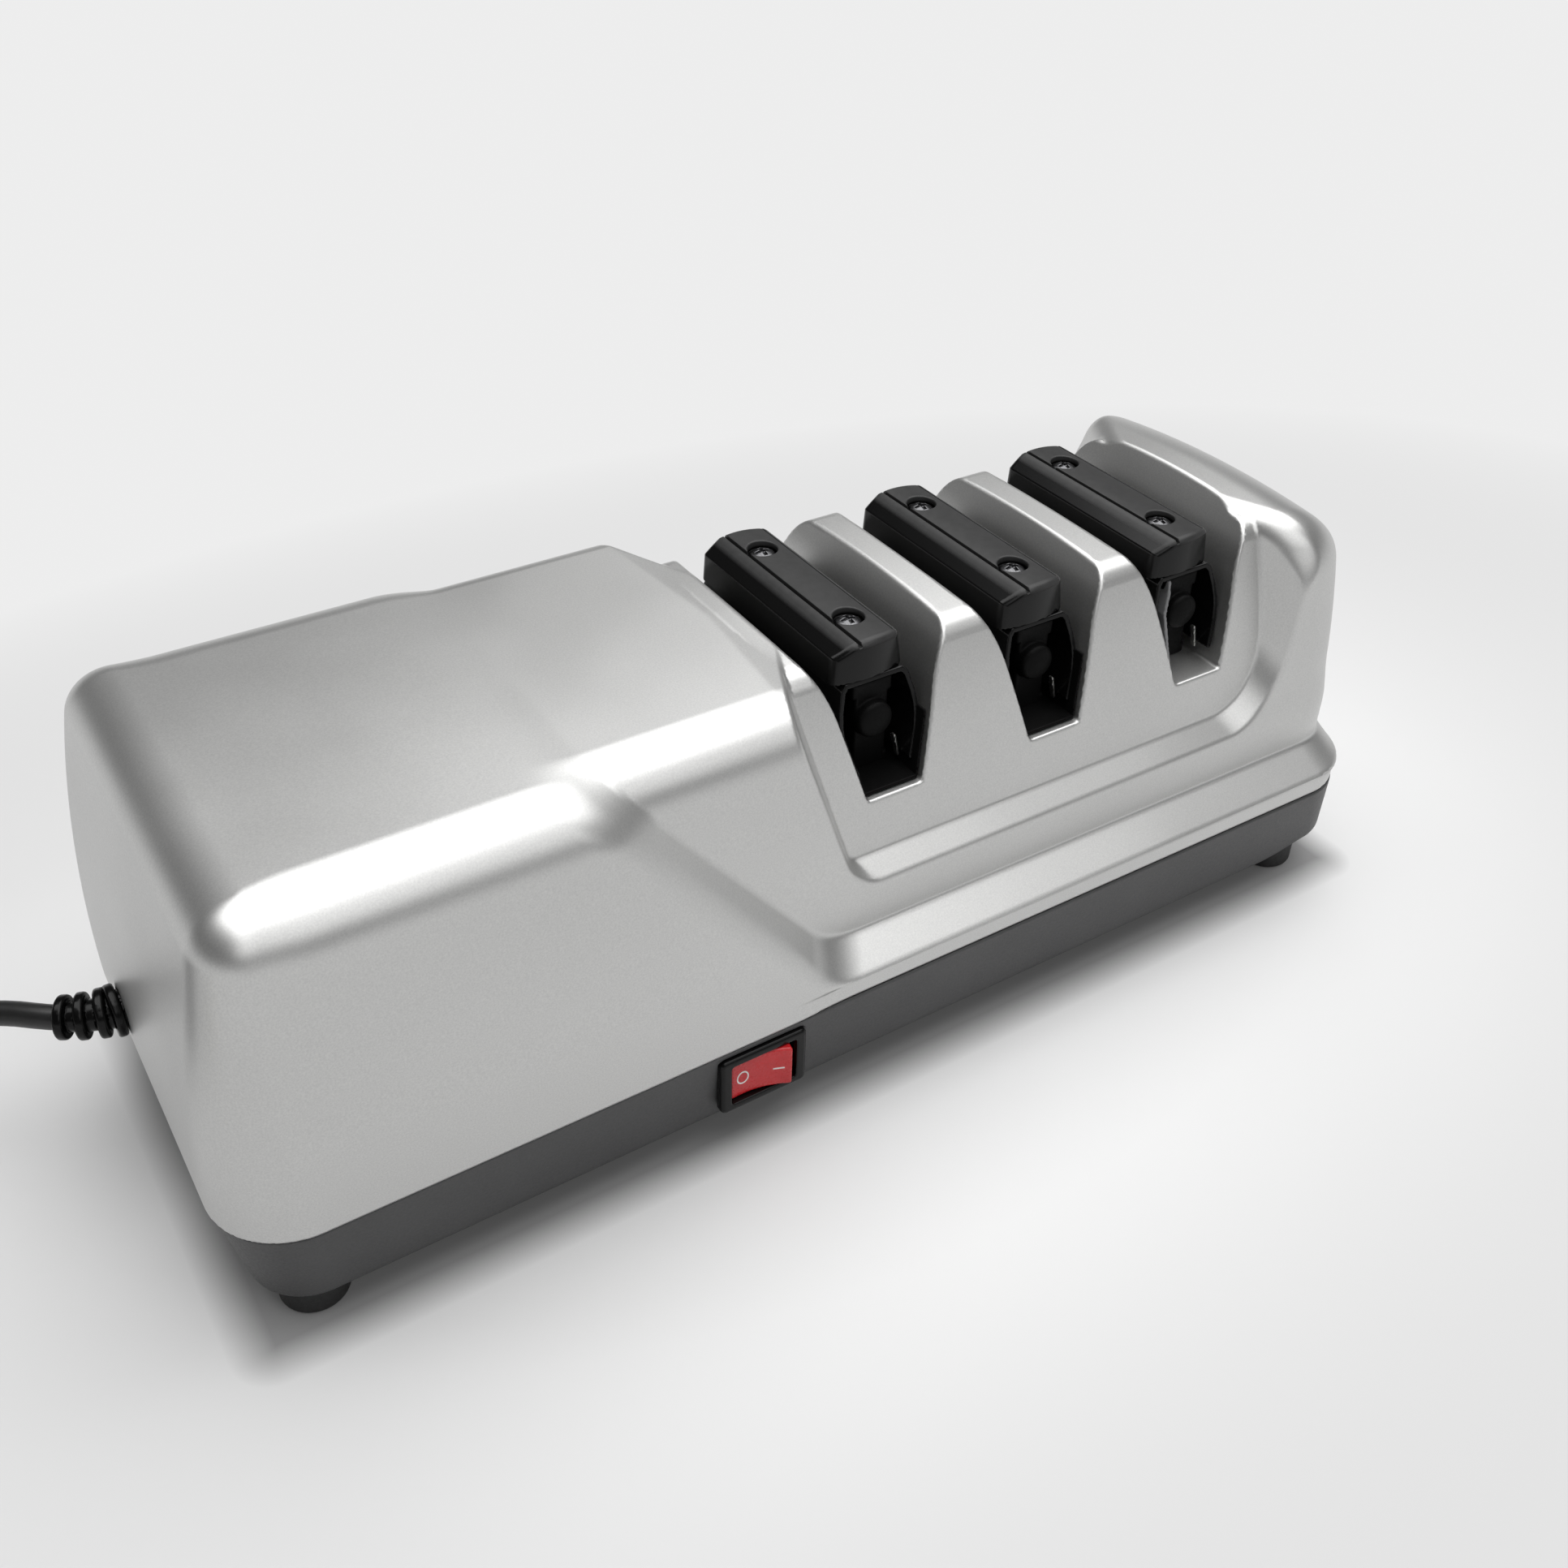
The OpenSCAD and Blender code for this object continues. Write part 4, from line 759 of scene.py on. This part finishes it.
def path_field(u, z, path, thickness):
    """Sheet of even thickness that follows a path in the (u, z) plane."""
    reach = np.full(np.shape(u * z), FAR)
    for (au, az), (bu, bz) in zip(path, path[1:]):
        du, dz = bu - au, bz - az
        t = np.clip(((u - au) * du + (z - az) * dz) / (du * du + dz * dz), 0, 1)
        reach = join(reach, np.hypot(u - au - t * du, z - az - t * dz))
    return reach - thickness / 2


# Sheets around a stage, as paths in the (u, z) plane
SPRING_ARM = [(0, 89.0), (6.9, 89.0), (7.9, 88.0), (9.0, 84), (9.45, 81), (9.4, 79), (8.9, 76), (6.9, 70.1)]
PLATE_PATH = [(-4.3, 87.6), (-4.6, 85), (-6.1, 80.5), (-5.8, 75), (-5.4, 69)]
SHADE_SHEET_PATH = [(-10.2, 80), (-6.65, 66.65), (6.65, 66.65), (10.2, 80)]
GLINT_PATH = [(4.9, 74), (5.3, 72), (6.1, 68.6)]

# Lines in the (w, z) plane where these sheets end toward the front and back
SPRING_FRONT = (37.2, 54.3), (26.8, 90.6)
PLATE_FRONT = (36.4, 54.3), (26.4, 90.6)
SHADE_SHEET_FRONT = (38.6, 54.3), (28.5, 93)


def spring_field(u, y, z):
    """Guide spring: two arms that flare below the bar and turn in along the notch's walls."""
    arm = path_field(np.abs(u), z, SPRING_ARM, 1.15)
    front = line_field(np.abs(y), z, *SPRING_FRONT)
    sheet = cut_round(arm, front, 0.25)
    gap = box_field(u, y, z, (-15, -16, 60), (15, 16, 76), 1.5)
    screw = np.hypot(u, np.abs(y) - SCREW_Y) - HOLE_R
    return carve(carve(sheet, gap, 0.2), meet(screw, np.abs(u) - 4), 0.1)


# Frames: how far out the posts reach, where they stand, and their round bosses
POST_IN, POST_OUT, POST_FOOT = 22.0, 26.8, 66.1
BOSS_U, BOSS_Z, BOSS_R, BOSS_OUT = -0.4, 79.6, 4.2, 30.0


def frame_field(u, y, z):
    """Stage frame: a beam under the bar, and two posts with round bosses and pins."""
    v = np.abs(y)
    beam = box_field(u, y, z, (-5, -POST_OUT, BEAM_LOW), (5, POST_OUT, BEAM_HIGH), 0.8)
    post = box_field(u, v, z, (-4.2, POST_IN, POST_FOOT), (4.2, POST_OUT, 87), 0.8)
    foot = box_field(u, v, z, (-4.9, POST_IN, POST_FOOT), (4.9, POST_OUT, 69), 0.6)
    crown = 0.05 * (u * u + (z - BOSS_Z) ** 2)
    boss = cut_round(np.hypot(u - BOSS_U, z - BOSS_Z) - BOSS_R, v - BOSS_OUT + crown, 0.8)
    boss = meet(boss, 23 - v)
    pin = rod_field(z, u, v - 24.5, 63.8, 67, 1.4)
    body = join_round(join(beam, join(post, foot)), boss, 0.4)
    bore = meet(np.hypot(u, v - SCREW_Y) - HOLE_R, 80 - z)
    return carve(join(body, pin), bore, 0.15)


def plate_field(u, y, z):
    """Grey plate that hangs beside the frame's posts."""
    front = line_field(np.abs(y), z, *PLATE_FRONT)
    return cut_round(meet(path_field(u, z, PLATE_PATH, 0.9), 22.5 - np.abs(y)), front, 0.2)


def shade_sheet_field(u, y, z):
    """Black sheet over the floor and the foot of the walls at a notch's front and back: painted shade, a
    dark sheet put where the notch is in shade.
    """
    front = line_field(np.abs(y), z, *SHADE_SHEET_FRONT)
    return cut_round(meet(path_field(u, z, SHADE_SHEET_PATH, 0.5), 21.8 - np.abs(y)), front, 0.1)


def glint_field(u, y, z):
    """Bright edge of the frame, low on its right."""
    return meet(path_field(u, z, GLINT_PATH, 0.5), np.abs(np.abs(y) - 28.5) - 0.7)


def at_stages(field):
    """The same field at every stage."""
    def repeated(x, y, z):
        u = x - STAGES[0]
        step = STAGES[1] - STAGES[0]
        u = u - step * np.clip(np.round(u / step), 0, len(STAGES) - 1)
        return field(u, y, z)
    return repeated


def stage_copies(piece, name, slot, node=None, look=None, stages=(0, 1, 2)):
    """Copies of a piece at the stages, in place of the CAD's nodes if a name is given."""
    for i in stages:
        twin = piece.copy()
        twin.data = piece.data.copy()
        twin.name = f"{name}_{i + 1}"
        twin.data.transform(Matrix.Translation((STAGES[i] * MM, 0, 0)))
        bpy.context.collection.objects.link(twin)
        dress(twin, slot, [f"{node}_{i + 1}"] if node else (), look=look)
    bpy.data.objects.remove(piece)


def build_stages():
    fine = 0.32
    bar = field_piece("bar", bar_field, (-10.6, -27.6, BAR_BOTTOM), (8.5, 27.6, BAR_TOP), fine, 0.35)
    stage_copies(bar, "bar", "black_plastic", "guide_bar", BAR_BLACK)
    spring = field_piece("spring", spring_field, (-10.2, -34, 69), (10.2, 34, 89.7), fine, 0.3)
    stage_copies(spring, "spring", "black_plastic", "guide_spring")
    holder = field_piece("frame", frame_field, (-5.1, -30.2, 63.7), (5.1, 30.2, BEAM_HIGH), 0.5, 0.3)
    # Frames in the painted shade black rather than their slot's grey
    stage_copies(holder, "frame", "frame_metal", "stage_frame", SHADE_BLACK)
    low = (STAGES[0] - 3, -SCREW_Y - 3, SCREW_LOW - 0.1)
    high = (STAGES[2] + 3, SCREW_Y + 3, SCREW_TOP + 0.1)
    screws = field_piece("bar_screws", at_stages(screw_field), low, high, 0.3, 0.4)
    dress(screws, "zinc_steel", ["guide_screws"], look=DARK_STEEL)
    plate = field_piece("frame_plate", plate_field, (-7, -33, 68.5), (-3.5, 33, 88.2), 0.4, 0.3)
    plate.data.transform(Matrix.Translation((STAGES[2] * MM, 0, 0)))
    dress(plate, "frame_metal")
    # Painted shade: black sheets in the first two notches only
    shade_sheet = field_piece("shade_sheet", shade_sheet_field, (-10.6, -35.6, 66.3), (10.6, 35.6, 80.3), 0.4, 0.3)
    stage_copies(shade_sheet, "shade_sheet", "black_plastic", look=SHADE_BLACK, stages=(0, 1))
    low, high = (STAGES[0] + 3, -30, 67.5), (STAGES[2] + 7, 30, 77)
    dress(field_piece("frame_edges", at_stages(glint_field), low, high, 0.3), "zinc_steel")


# Springs between the disks, in two halves, from the stage's middle to each disk

SHAFT_Z = 48.0
SPRING_R, SPRING_WIRE, SPRING_END, SPRING_TURNS = 10.52, 1.2, 5.25, 4

# Points around the wire, and steps along one half of a spring
RING, SPRING_STEPS = 8, 48


def half_spring(name, mid, side):
    """Wire from the middle of a stage to the disk on one side."""
    s = np.linspace(0, side, SPRING_STEPS + 1)
    turn = np.pi * SPRING_TURNS * (s + 1)
    radial = np.stack([0 * s, np.cos(turn), np.sin(turn)], 1)
    line = SPRING_R * radial + np.stack([mid + SPRING_END * s, 0 * s, 0 * s + SHAFT_Z], 1)
    ahead = np.gradient(line, axis=0)
    ahead /= np.linalg.norm(ahead, axis=1, keepdims=True)
    over = np.cross(ahead, radial)
    around = np.linspace(0, 2 * np.pi, RING, endpoint=False)[:, None]
    outward = np.cos(around) * radial[:, None] + np.sin(around) * over[:, None]
    points = line[:, None] + SPRING_WIRE / 2 * outward
    k = np.arange(RING)
    step = np.stack([k, (k + 1) % RING, (k + 1) % RING + RING, k + RING], 1)
    faces = (np.arange(SPRING_STEPS)[:, None, None] * RING + step).reshape(-1, 4)
    cap = np.array([(0, 1, 2, 3), (0, 3, 4, 5), (0, 5, 6, 7)])
    faces = np.vstack([faces, cap[:, ::-1], cap + SPRING_STEPS * RING])
    return mesh_object(name, points.reshape(-1, 3), faces)


def build_disk_springs():
    for i, mid in enumerate(STAGES):
        for side, label in ((-1, "left"), (1, "right")):
            half = half_spring(f"disk_spring_{i + 1}_{label}", mid, side)
            dress(half, "shaft_steel", [f"disk_spring_{i + 1}"], "drive")
            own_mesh(half)


# Switch. The rocker's fields are laid out level, then turned to its rest angle about its pivot.

SWITCH_X, SWITCH_Z, PIVOT_Y = -34.7, 18.6, -48.9
BEZEL_Y, POCKET_Y = -52.8, -50.6
BEZEL_HW, BEZEL_HH, OPEN_HW, OPEN_HH = 10.5, 7.5, 7.9, 5.5
ROCKER_HW, ROCKER_HH, ROCKER_REST = 6.9, 5.3, 11.0
CASE_HW, CASE_HH, CASE_DEPTH, OPEN_DEPTH = 9.3, 6.3, 15.0, 10.5
PIN_R, PIN_HOLE_R = 1.15, 1.25

# Marks on the rocker: how far they reach in and out of its face, the ring, and the bar
MARK_DEPTH = 0.06
RING_U, RING_R, RING_SHAPE = -4.1, 1.6, 0.8
DASH_U, DASH_HALF_LEN = 4.0, 1.25


def bezel_field(x, y, z):
    """Switch body: frame, case behind it, and opening for the rocker."""
    u, v = x - SWITCH_X, z - SWITCH_Z
    plan = cut_round(np.abs(u) - BEZEL_HW, np.abs(v) - BEZEL_HH, 1.4)
    rim = cut_round(cut_round(plan, BEZEL_Y - y, 0.9), y - POCKET_Y, 0.1)
    low, high = (-CASE_HW, POCKET_Y - 1, -CASE_HH), (CASE_HW, POCKET_Y + CASE_DEPTH, CASE_HH)
    case = box_field(u, y, v, low, high, 0.6)
    opening = cut_round(np.abs(u) - OPEN_HW, np.abs(v) - OPEN_HH, 0.7)
    opening = meet(opening, y - BEZEL_Y - OPEN_DEPTH)
    body = carve(join(rim, case), opening, 0.35)
    return carve(body, meet(np.hypot(u, y - PIVOT_Y) - PIN_HOLE_R, np.abs(v) - 6), 0.1)


def rocker_face(u):
    """How far the rocker's face is in front of its pivot: a shallow valley."""
    return 3.1 + 0.0235 * u * u


def rocker_field(u, y, v):
    """Paddle with a tapered back, and the pins that it turns on."""
    plan = cut_round(np.abs(u) - ROCKER_HW, np.abs(v) - ROCKER_HH, 0.7)
    body = cut_round(plan, -y - rocker_face(u), 0.6)
    back = line_field(np.abs(u), -y, (2.6, -3.2), (6.7, -0.4))
    body = meet(meet(body, np.where(y > -0.4, back, body)), y - 3.2)
    return join(body, meet(np.hypot(u, y) - PIN_R, np.abs(v) - 5.7))


def circle_mark_field(u, y, v):
    """Generic off mark: a thin ring let into the face's left end."""
    ring = np.abs(np.hypot((u - RING_U) / RING_SHAPE, v) - RING_R) - 0.2
    return meet(ring, np.abs(-y - rocker_face(u)) - MARK_DEPTH)


def line_mark_field(u, y, v):
    """Generic on mark: a short bar at the face's right end, lying along it."""
    dash = meet(np.abs(u - DASH_U) - DASH_HALF_LEN, np.abs(v + 0.2) - 0.2)
    return meet(dash, np.abs(-y - rocker_face(u)) - MARK_DEPTH)


def turn_with_rocker(piece):
    """From the level layout to the rocker's place, at its rest angle."""
    turn = Matrix.Rotation(radians(-ROCKER_REST), 4, "Z")
    at = Matrix.Translation(MM * Vector((SWITCH_X, PIVOT_Y, SWITCH_Z)))
    piece.data.transform(at @ turn)


def build_switch():
    low = (SWITCH_X - BEZEL_HW, BEZEL_Y, SWITCH_Z - BEZEL_HH)
    high = (SWITCH_X + BEZEL_HW, POCKET_Y + CASE_DEPTH, SWITCH_Z + BEZEL_HH)
    bezel = field_piece("switch_case", bezel_field, low, high, 0.35, 0.3)
    dress(bezel, "black_plastic", ["switch_body"])
    rocker = field_piece("rocker_paddle", rocker_field, (-7, -4.4, -5.8), (7, 3.3, 5.8), 0.25, 0.35)
    turn_with_rocker(rocker)
    dress(rocker, "red_plastic", ["switch_rocker"], "rocker")
    marks = (("off_mark", circle_mark_field, (-6.2, -4.1, -2.3), (-2.2, -3.1, 2.3)),
             ("on_mark", line_mark_field, (2.7, -3.9, -0.5), (5.3, -3.1, 0.1)))
    for name, field, low, high in marks:
        mark = field_piece(name, field, low, high, 0.09)
        turn_with_rocker(mark)
        dress(mark, "red_plastic", body="rocker", look=WHITE_MARK)


# Strain relief, coil tie and plug

RIB_R, RIB_SHRINK, SLEEVE_WALL, COLLAR_R, NECK_R = 5.2, 0.3, 1.6, 5.6, 3.9


def relief_field(x, y, z):
    """Collars on both sides of the wall, then ribs that shrink outward, over a thinner sleeve."""
    v, w = y - OUTLET[1], z - OUTLET[2]
    body = rod_field(x, v, w, X_LEFT - 2.2, X_LEFT - 0.2, COLLAR_R, 0.6)
    body = join(body, rod_field(x, v, w, X_LEFT - 1, X_LEFT + 7, NECK_R, 0.2))
    body = join(body, rod_field(x, v, w, X_LEFT + 4.6, X_LEFT + 6.9, COLLAR_R, 0.4))
    for i in range(RELIEF_RIBS):
        a, b = np.array(relief_point(i)), np.array(relief_point(i + 1))
        ahead = (b - a) / np.linalg.norm(b - a)
        along = (x - a[0]) * ahead[0] + (y - a[1]) * ahead[1]
        across = (x - a[0]) * ahead[1] - (y - a[1]) * ahead[0]
        radius = RIB_R - RIB_SHRINK * i
        body = join_round(body, rod_field(along, across, w, -0.2, RIB_PITCH, radius - SLEEVE_WALL), 0.3)
        body = join(body, rod_field(along, across, w, 0.42 * RIB_PITCH, RIB_PITCH, radius, 0.7))
    return body


TIE_Y, TIE_LOW, TIE_HIGH = 4.0, 2.4, 31.9
TIE_HW, STRAP_IN, STRAP_OUT = 2.5, 2.9, 3.7


def tie_field(x, y, z):
    """Strap around the coil's turns at its front, with its end folded over."""
    v, w = y - TIE_Y, z - (TIE_LOW + TIE_HIGH) / 2
    tall = (TIE_HIGH - TIE_LOW) / 2
    outer = cut_round(np.abs(v) - STRAP_OUT, np.abs(w) - tall - 0.9, 3)
    inner = cut_round(np.abs(v) - STRAP_IN, np.abs(w) - tall - 0.1, 2.4)
    side = np.abs(x - COIL_MID[0]) - TIE_HW
    strap = cut_round(meet(outer, -inner), side, 0.2)
    flap = box_field(x - COIL_MID[0], v, w, (-3, -4.7, -3), (3, -3.4, 9), 0.4)
    return join(strap, flap)


PLUG_LEN = 35.0


def plug_field(x, y, z):
    """Moulded flat plug: a grip with cross ribs that widens to the face with the pins."""
    s = PLUG_AT[1] - y
    wide = 4.0 + 6 * ramp(s, 2, 14) + 7.5 * ramp(s, 12, 22)
    tall = 4.0 + 2.7 * ramp(s, 2, 16)
    ribs = 0.5 * ramp(np.sin(s * 2.2), 0.1, 0.8) * ramp(s, 3, 4.5) * ramp(s, 15, 13)
    body = cut_round(np.abs(x - PLUG_AT[0]) - wide, np.abs(z - PLUG_AT[2]) - tall + ribs, 3.2)
    body = cut_round(cut_round(body, s - PLUG_LEN, 1.2), -s, 0.8)
    seam = meet(np.abs(z - PLUG_AT[2]) - 0.2, -body - 0.3)
    return carve(body, seam, 0.1)


def build_cord_parts():
    relief = field_piece("relief_ribs", relief_field, (-158, 10, 30), (-138, 25, 42), 0.35, 0.4)
    dress(relief, "black_plastic", ["strain_relief"])
    tie = field_piece("coil_tie", tie_field, (-267.1, -0.9, 1.4), (-260.9, 7.8, 32.9), 0.4, 0.4)
    dress(tie, "black_plastic")
    plug = field_piece("plug_shell", plug_field, (-320.6, -66.1, 0.1), (-285.4, -30.9, 13.7), 0.5, 0.3)
    dress(plug, "cord_vinyl", ["plug_body"])
    return [relief, tie, plug, "plug_pins"]


# Base tray and feet

BASE_LOW, FLOOR_Z, BASE_WALL = 7.0, 9.6, 2.8
TRAY_HALF_LEN, TRAY_HALF_W, TRAY_CORNER_R = 144.5, 52.0, 16.5
FOOT_AT, FOOT_R, FOOT_H = (130.0, 40.0), 7.0, 7.0
BOSSES = ((-123.0, 41.5), (119.0, 38.9))
BOSS_POST_R, FOOT_POST_R, FOOT_POST_TOP = 4.2, 3.5, 15.5
SWITCH_GAP = 0.2

# What stands on the floor starts inside it, at this height
INSIDE_LOW = 8.0

# Under the motor: its middle, the top and ends of the pads it stands on, and the air slots
MOTOR_X, MOTOR_FOOT_Z = -98.0, 17.0
MOTOR_PADS, PAD_IN, PAD_OUT = ((-137, -125), (-68, -56)), 21, 33
SLOT_PITCH, SLOTS_REACH = 7.0, 24.0

# Left ends, half width and top of the two pads under the bearing blocks
BLOCK_PADS, BLOCK_PAD_HW, BLOCK_PAD_TOP = (-29, 120), 18, 13.6


def tray_skin(x, y, z):
    """Outside of the base tray, which draws in downward and has a rounder bottom at its right end."""
    t = np.clip((SEAM_Z - z) / (SEAM_Z - BASE_LOW), 0, 1)
    right = x > 0
    end = np.abs(x) - TRAY_HALF_LEN + np.where(right, 1.5, 4) * t
    plan = cut_round(end, np.abs(y) - TRAY_HALF_W + 3 * t, TRAY_CORNER_R - np.where(right, 8, 4) * t)
    return cut_round(plan, BASE_LOW - z, 2 + 4 * ramp(x, 118, 138))


def tray_inside(x, y, z):
    """Bosses, foot posts and pads that stand on the tray's floor."""
    w = np.abs(y)
    u, v = np.abs(x) - FOOT_AT[0], w - FOOT_AT[1]
    parts = [rod_field(z, u, v, INSIDE_LOW, FOOT_POST_TOP, FOOT_POST_R)]
    for a, b in MOTOR_PADS:
        parts.append(box_field(x, w, z, (a, PAD_IN, INSIDE_LOW), (b, PAD_OUT, MOTOR_FOOT_Z), 0.4))
    for a in BLOCK_PADS:
        low, high = (a, -BLOCK_PAD_HW, INSIDE_LOW), (a + 10, BLOCK_PAD_HW, BLOCK_PAD_TOP)
        parts.append(box_field(x, y, z, low, high, 0.4))
    for bx, by in BOSSES:
        parts.append(rod_field(z, x - bx, w - by, INSIDE_LOW, SEAM_Z, BOSS_POST_R))
    return join.reduce(parts)


def tray_cuts(x, y, z):
    """Air slots under the motor, wells for the housing screws, and the switch's pocket and opening."""
    w = np.abs(y)
    from_slot = np.abs((x - MOTOR_X + SLOT_PITCH / 2) % SLOT_PITCH - SLOT_PITCH / 2)
    slot = box_field(from_slot, w, z, (-1, -1, 0), (1.2, 18, 12), 0.5)
    cuts = meet(slot, np.abs(x - MOTOR_X) - SLOTS_REACH)
    for bx, by in BOSSES:
        cuts = join(cuts, meet(np.hypot(x - bx, w - by) - BOSS_POST_R, z - 9.4))
    u, v = x - SWITCH_X, z - SWITCH_Z
    wide, tall = BEZEL_HW + SWITCH_GAP, BEZEL_HH + SWITCH_GAP
    pocket = box_field(u, y, v, (-wide, -60, -tall), (wide, POCKET_Y, tall), 1.4)
    wide, tall = CASE_HW + SWITCH_GAP, CASE_HH + SWITCH_GAP
    opening = box_field(u, y, v, (-wide, -60, -tall), (wide, -41, tall), 0.5)
    return join(cuts, join(pocket, opening))


def tray_field(x, y, z):
    """Tray with its inner parts and openings, and the ledge in the seam's shadow."""
    skin = tray_skin(x, y, z)
    wall = meet(skin, -meet(skin + BASE_WALL, FLOOR_Z - z))
    body = join(wall, meet(tray_inside(x, y, z), skin + 0.5))
    ledge = meet(np.abs(skin + 2) - 0.7, np.abs(z - 27.5) - 0.9)
    body = join(cut_round(body, z - (SEAM_Z - 0.45), 0.3), ledge)
    return carve(body, tray_cuts(x, y, z), 0.2)


def feet_field(x, y, z):
    """Rubber feet, rounded at the floor, with a well for the screw."""
    u, v = np.abs(x) - FOOT_AT[0], np.abs(y) - FOOT_AT[1]
    r = np.hypot(u, v)
    foot = cut_round(cut_round(r - FOOT_R, -z, 1.4), z - FOOT_H, 0.2)
    ring = meet(np.abs(r - 5) - 0.35, z - 0.5)
    well = join(meet(r - 3.3, z - 3), r - 1.75)
    return carve(carve(foot, ring, 0.15), well, 0.25)


def build_base():
    cell = 0.75
    low, high = (-TRAY_HALF_LEN, -TRAY_HALF_W, BASE_LOW), (TRAY_HALF_LEN, TRAY_HALF_W, SEAM_Z)
    tray = field_piece("tray", tray_field, low, high, cell, 0.3)
    dress(tray, "grey_plastic", ["base_tray"])
    far_x, far_y = FOOT_AT[0] + FOOT_R, FOOT_AT[1] + FOOT_R
    low, high = (-far_x, -far_y, 0), (far_x, far_y, FOOT_H)
    dress(field_piece("rubber_feet", feet_field, low, high, 0.6, 0.4), "foot_rubber", ["feet"])


# Floor and light, in metres: a table under a wide softbox, in a room that is pale near the horizon

BACKDROP, ROOM_ABOVE = 0.85, 0.11
HORIZON_FROM, HORIZON_TO = 0.04, 0.17
TABLE_HALF_MM = 900.0

# Painted pool of light: the table's colour beside the object and far away, and between which distances it
# changes
POOL_TONE_BESIDE, POOL_TONE_AWAY = 0.72, 0.1
TABLE_NEAR, TABLE_FAR = 0.1, 0.38

# The table turns into the backdrop between these distances, from this share on
GLOW_SHARE, GLOW_NEAR, GLOW_FAR = 0.04, 0.09, 0.27

# Painted shadow: the table's colour is darker right beside the base, as in the photograph
BASE_HALF = (0.141, 0.049, 0)
CONTACT_SHADOW_TONE, CONTACT_SHADOW_REACH = 0.3, 0.009


def footprint_distance(look):
    """Distance on the floor from the outline of the base."""
    beyond = look.vector("SUBTRACT", look.vector("ABSOLUTE", look.place)["Vector"], BASE_HALF)["Vector"]
    return look.vector("LENGTH", look.vector("MAXIMUM", beyond, (0, 0, 0))["Vector"])["Value"]


def seen_rays(look):
    """1 for the rays that see the backdrop: from the camera, or by way of metal or glass."""
    path = look.node("ShaderNodeLightPath").outputs
    seen = look.math("MAXIMUM", path["Is Camera Ray"], path["Is Glossy Ray"])
    return look.math("MAXIMUM", seen, path["Is Transmission Ray"])


def floor_look():
    """Table that turns into the backdrop farther out, for the rays that see it; its colour holds a painted
    pool of light and a painted contact shadow.
    """
    look = Look("floor", grey(0.86), 0.9)
    away = look.vector("LENGTH", look.stretched((0.6, 1, 1)))["Value"]
    # Painted pool of light: the table's colour is pale beside the object and dark farther out
    tone = look.between(away, POOL_TONE_BESIDE, POOL_TONE_AWAY, TABLE_NEAR, TABLE_FAR)
    # Painted shadow: the table's colour darkens close to the base's outline
    painted_contact_shadow = look.between(footprint_distance(look), CONTACT_SHADOW_TONE, 1, 0, CONTACT_SHADOW_REACH)
    look.set("Base Color", look.math("MULTIPLY", tone, painted_contact_shadow))
    glow = look.node("ShaderNodeEmission", {"Color": grey(BACKDROP)}).outputs[0]
    share = look.between(away, GLOW_SHARE, 1, GLOW_NEAR, GLOW_FAR)
    seen = look.math("MULTIPLY", seen_rays(look), share)
    mix = look.node("ShaderNodeMixShader", {"Fac": seen, 1: look.shader.outputs[0], 2: glow})
    look.put(look.tree.nodes["Material Output"].inputs["Surface"], mix.outputs[0])
    return look.material


def make_floor():
    corners = TABLE_HALF_MM * np.array([(-1, -1, 0), (1, -1, 0), (1, 1, 0), (-1, 1, 0)])
    floor = mesh_object("floor", corners, np.array([[0, 1, 2, 3]]))
    floor.data.materials.append(floor_look())


def area_lamp(name, at, aim, size, watts):
    data = bpy.data.lights.new(name, "AREA")
    data.shape = "RECTANGLE"
    data.size, data.size_y = size
    data.energy = watts
    lamp = add_object(name, data)
    lamp.location = at
    lamp.rotation_euler = (Vector(aim) - Vector(at)).to_track_quat("-Z", "Y").to_euler()


def make_room():
    """World that is as pale as the backdrop up to just above the horizon, and dim higher up."""
    world = bpy.data.worlds.new("studio")
    world.use_nodes = True
    room = Nodes(world.node_tree)
    direction = room.node("ShaderNodeTexCoord").outputs["Generated"]
    height = room.node("ShaderNodeSeparateXYZ", {0: direction}).outputs["Z"]
    background = room.tree.nodes["Background"].inputs
    room.put(background["Color"], grey(1))
    room.put(background["Strength"], room.between(height, BACKDROP, ROOM_ABOVE, HORIZON_FROM, HORIZON_TO))
    bpy.context.scene.world = world


bpy.context.scene.view_settings.view_transform = "Standard"
make_camera()
make_floor()
make_room()
area_lamp("overhead", at=(0.35, 0.18, 1.6), aim=(0.15, 0.1, 0), size=(2.0, 2.3), watts=45)
area_lamp("front", at=(0.2, -1.5, 1.35), aim=(0, 0, 0), size=(2.0, 0.9), watts=8)
paint_nodes()
build_stages()
build_disk_springs()
build_switch()
build_base()
cord_line = smooth(cord_points(), steps=3)
cord = curve_piece("mains_cord", cord_line, CORD_D / 2)
dress(cord, "cord_vinyl", ["power_cord", "cord_coil", "cord_tail"])
build_cord_parts()
build_housing()
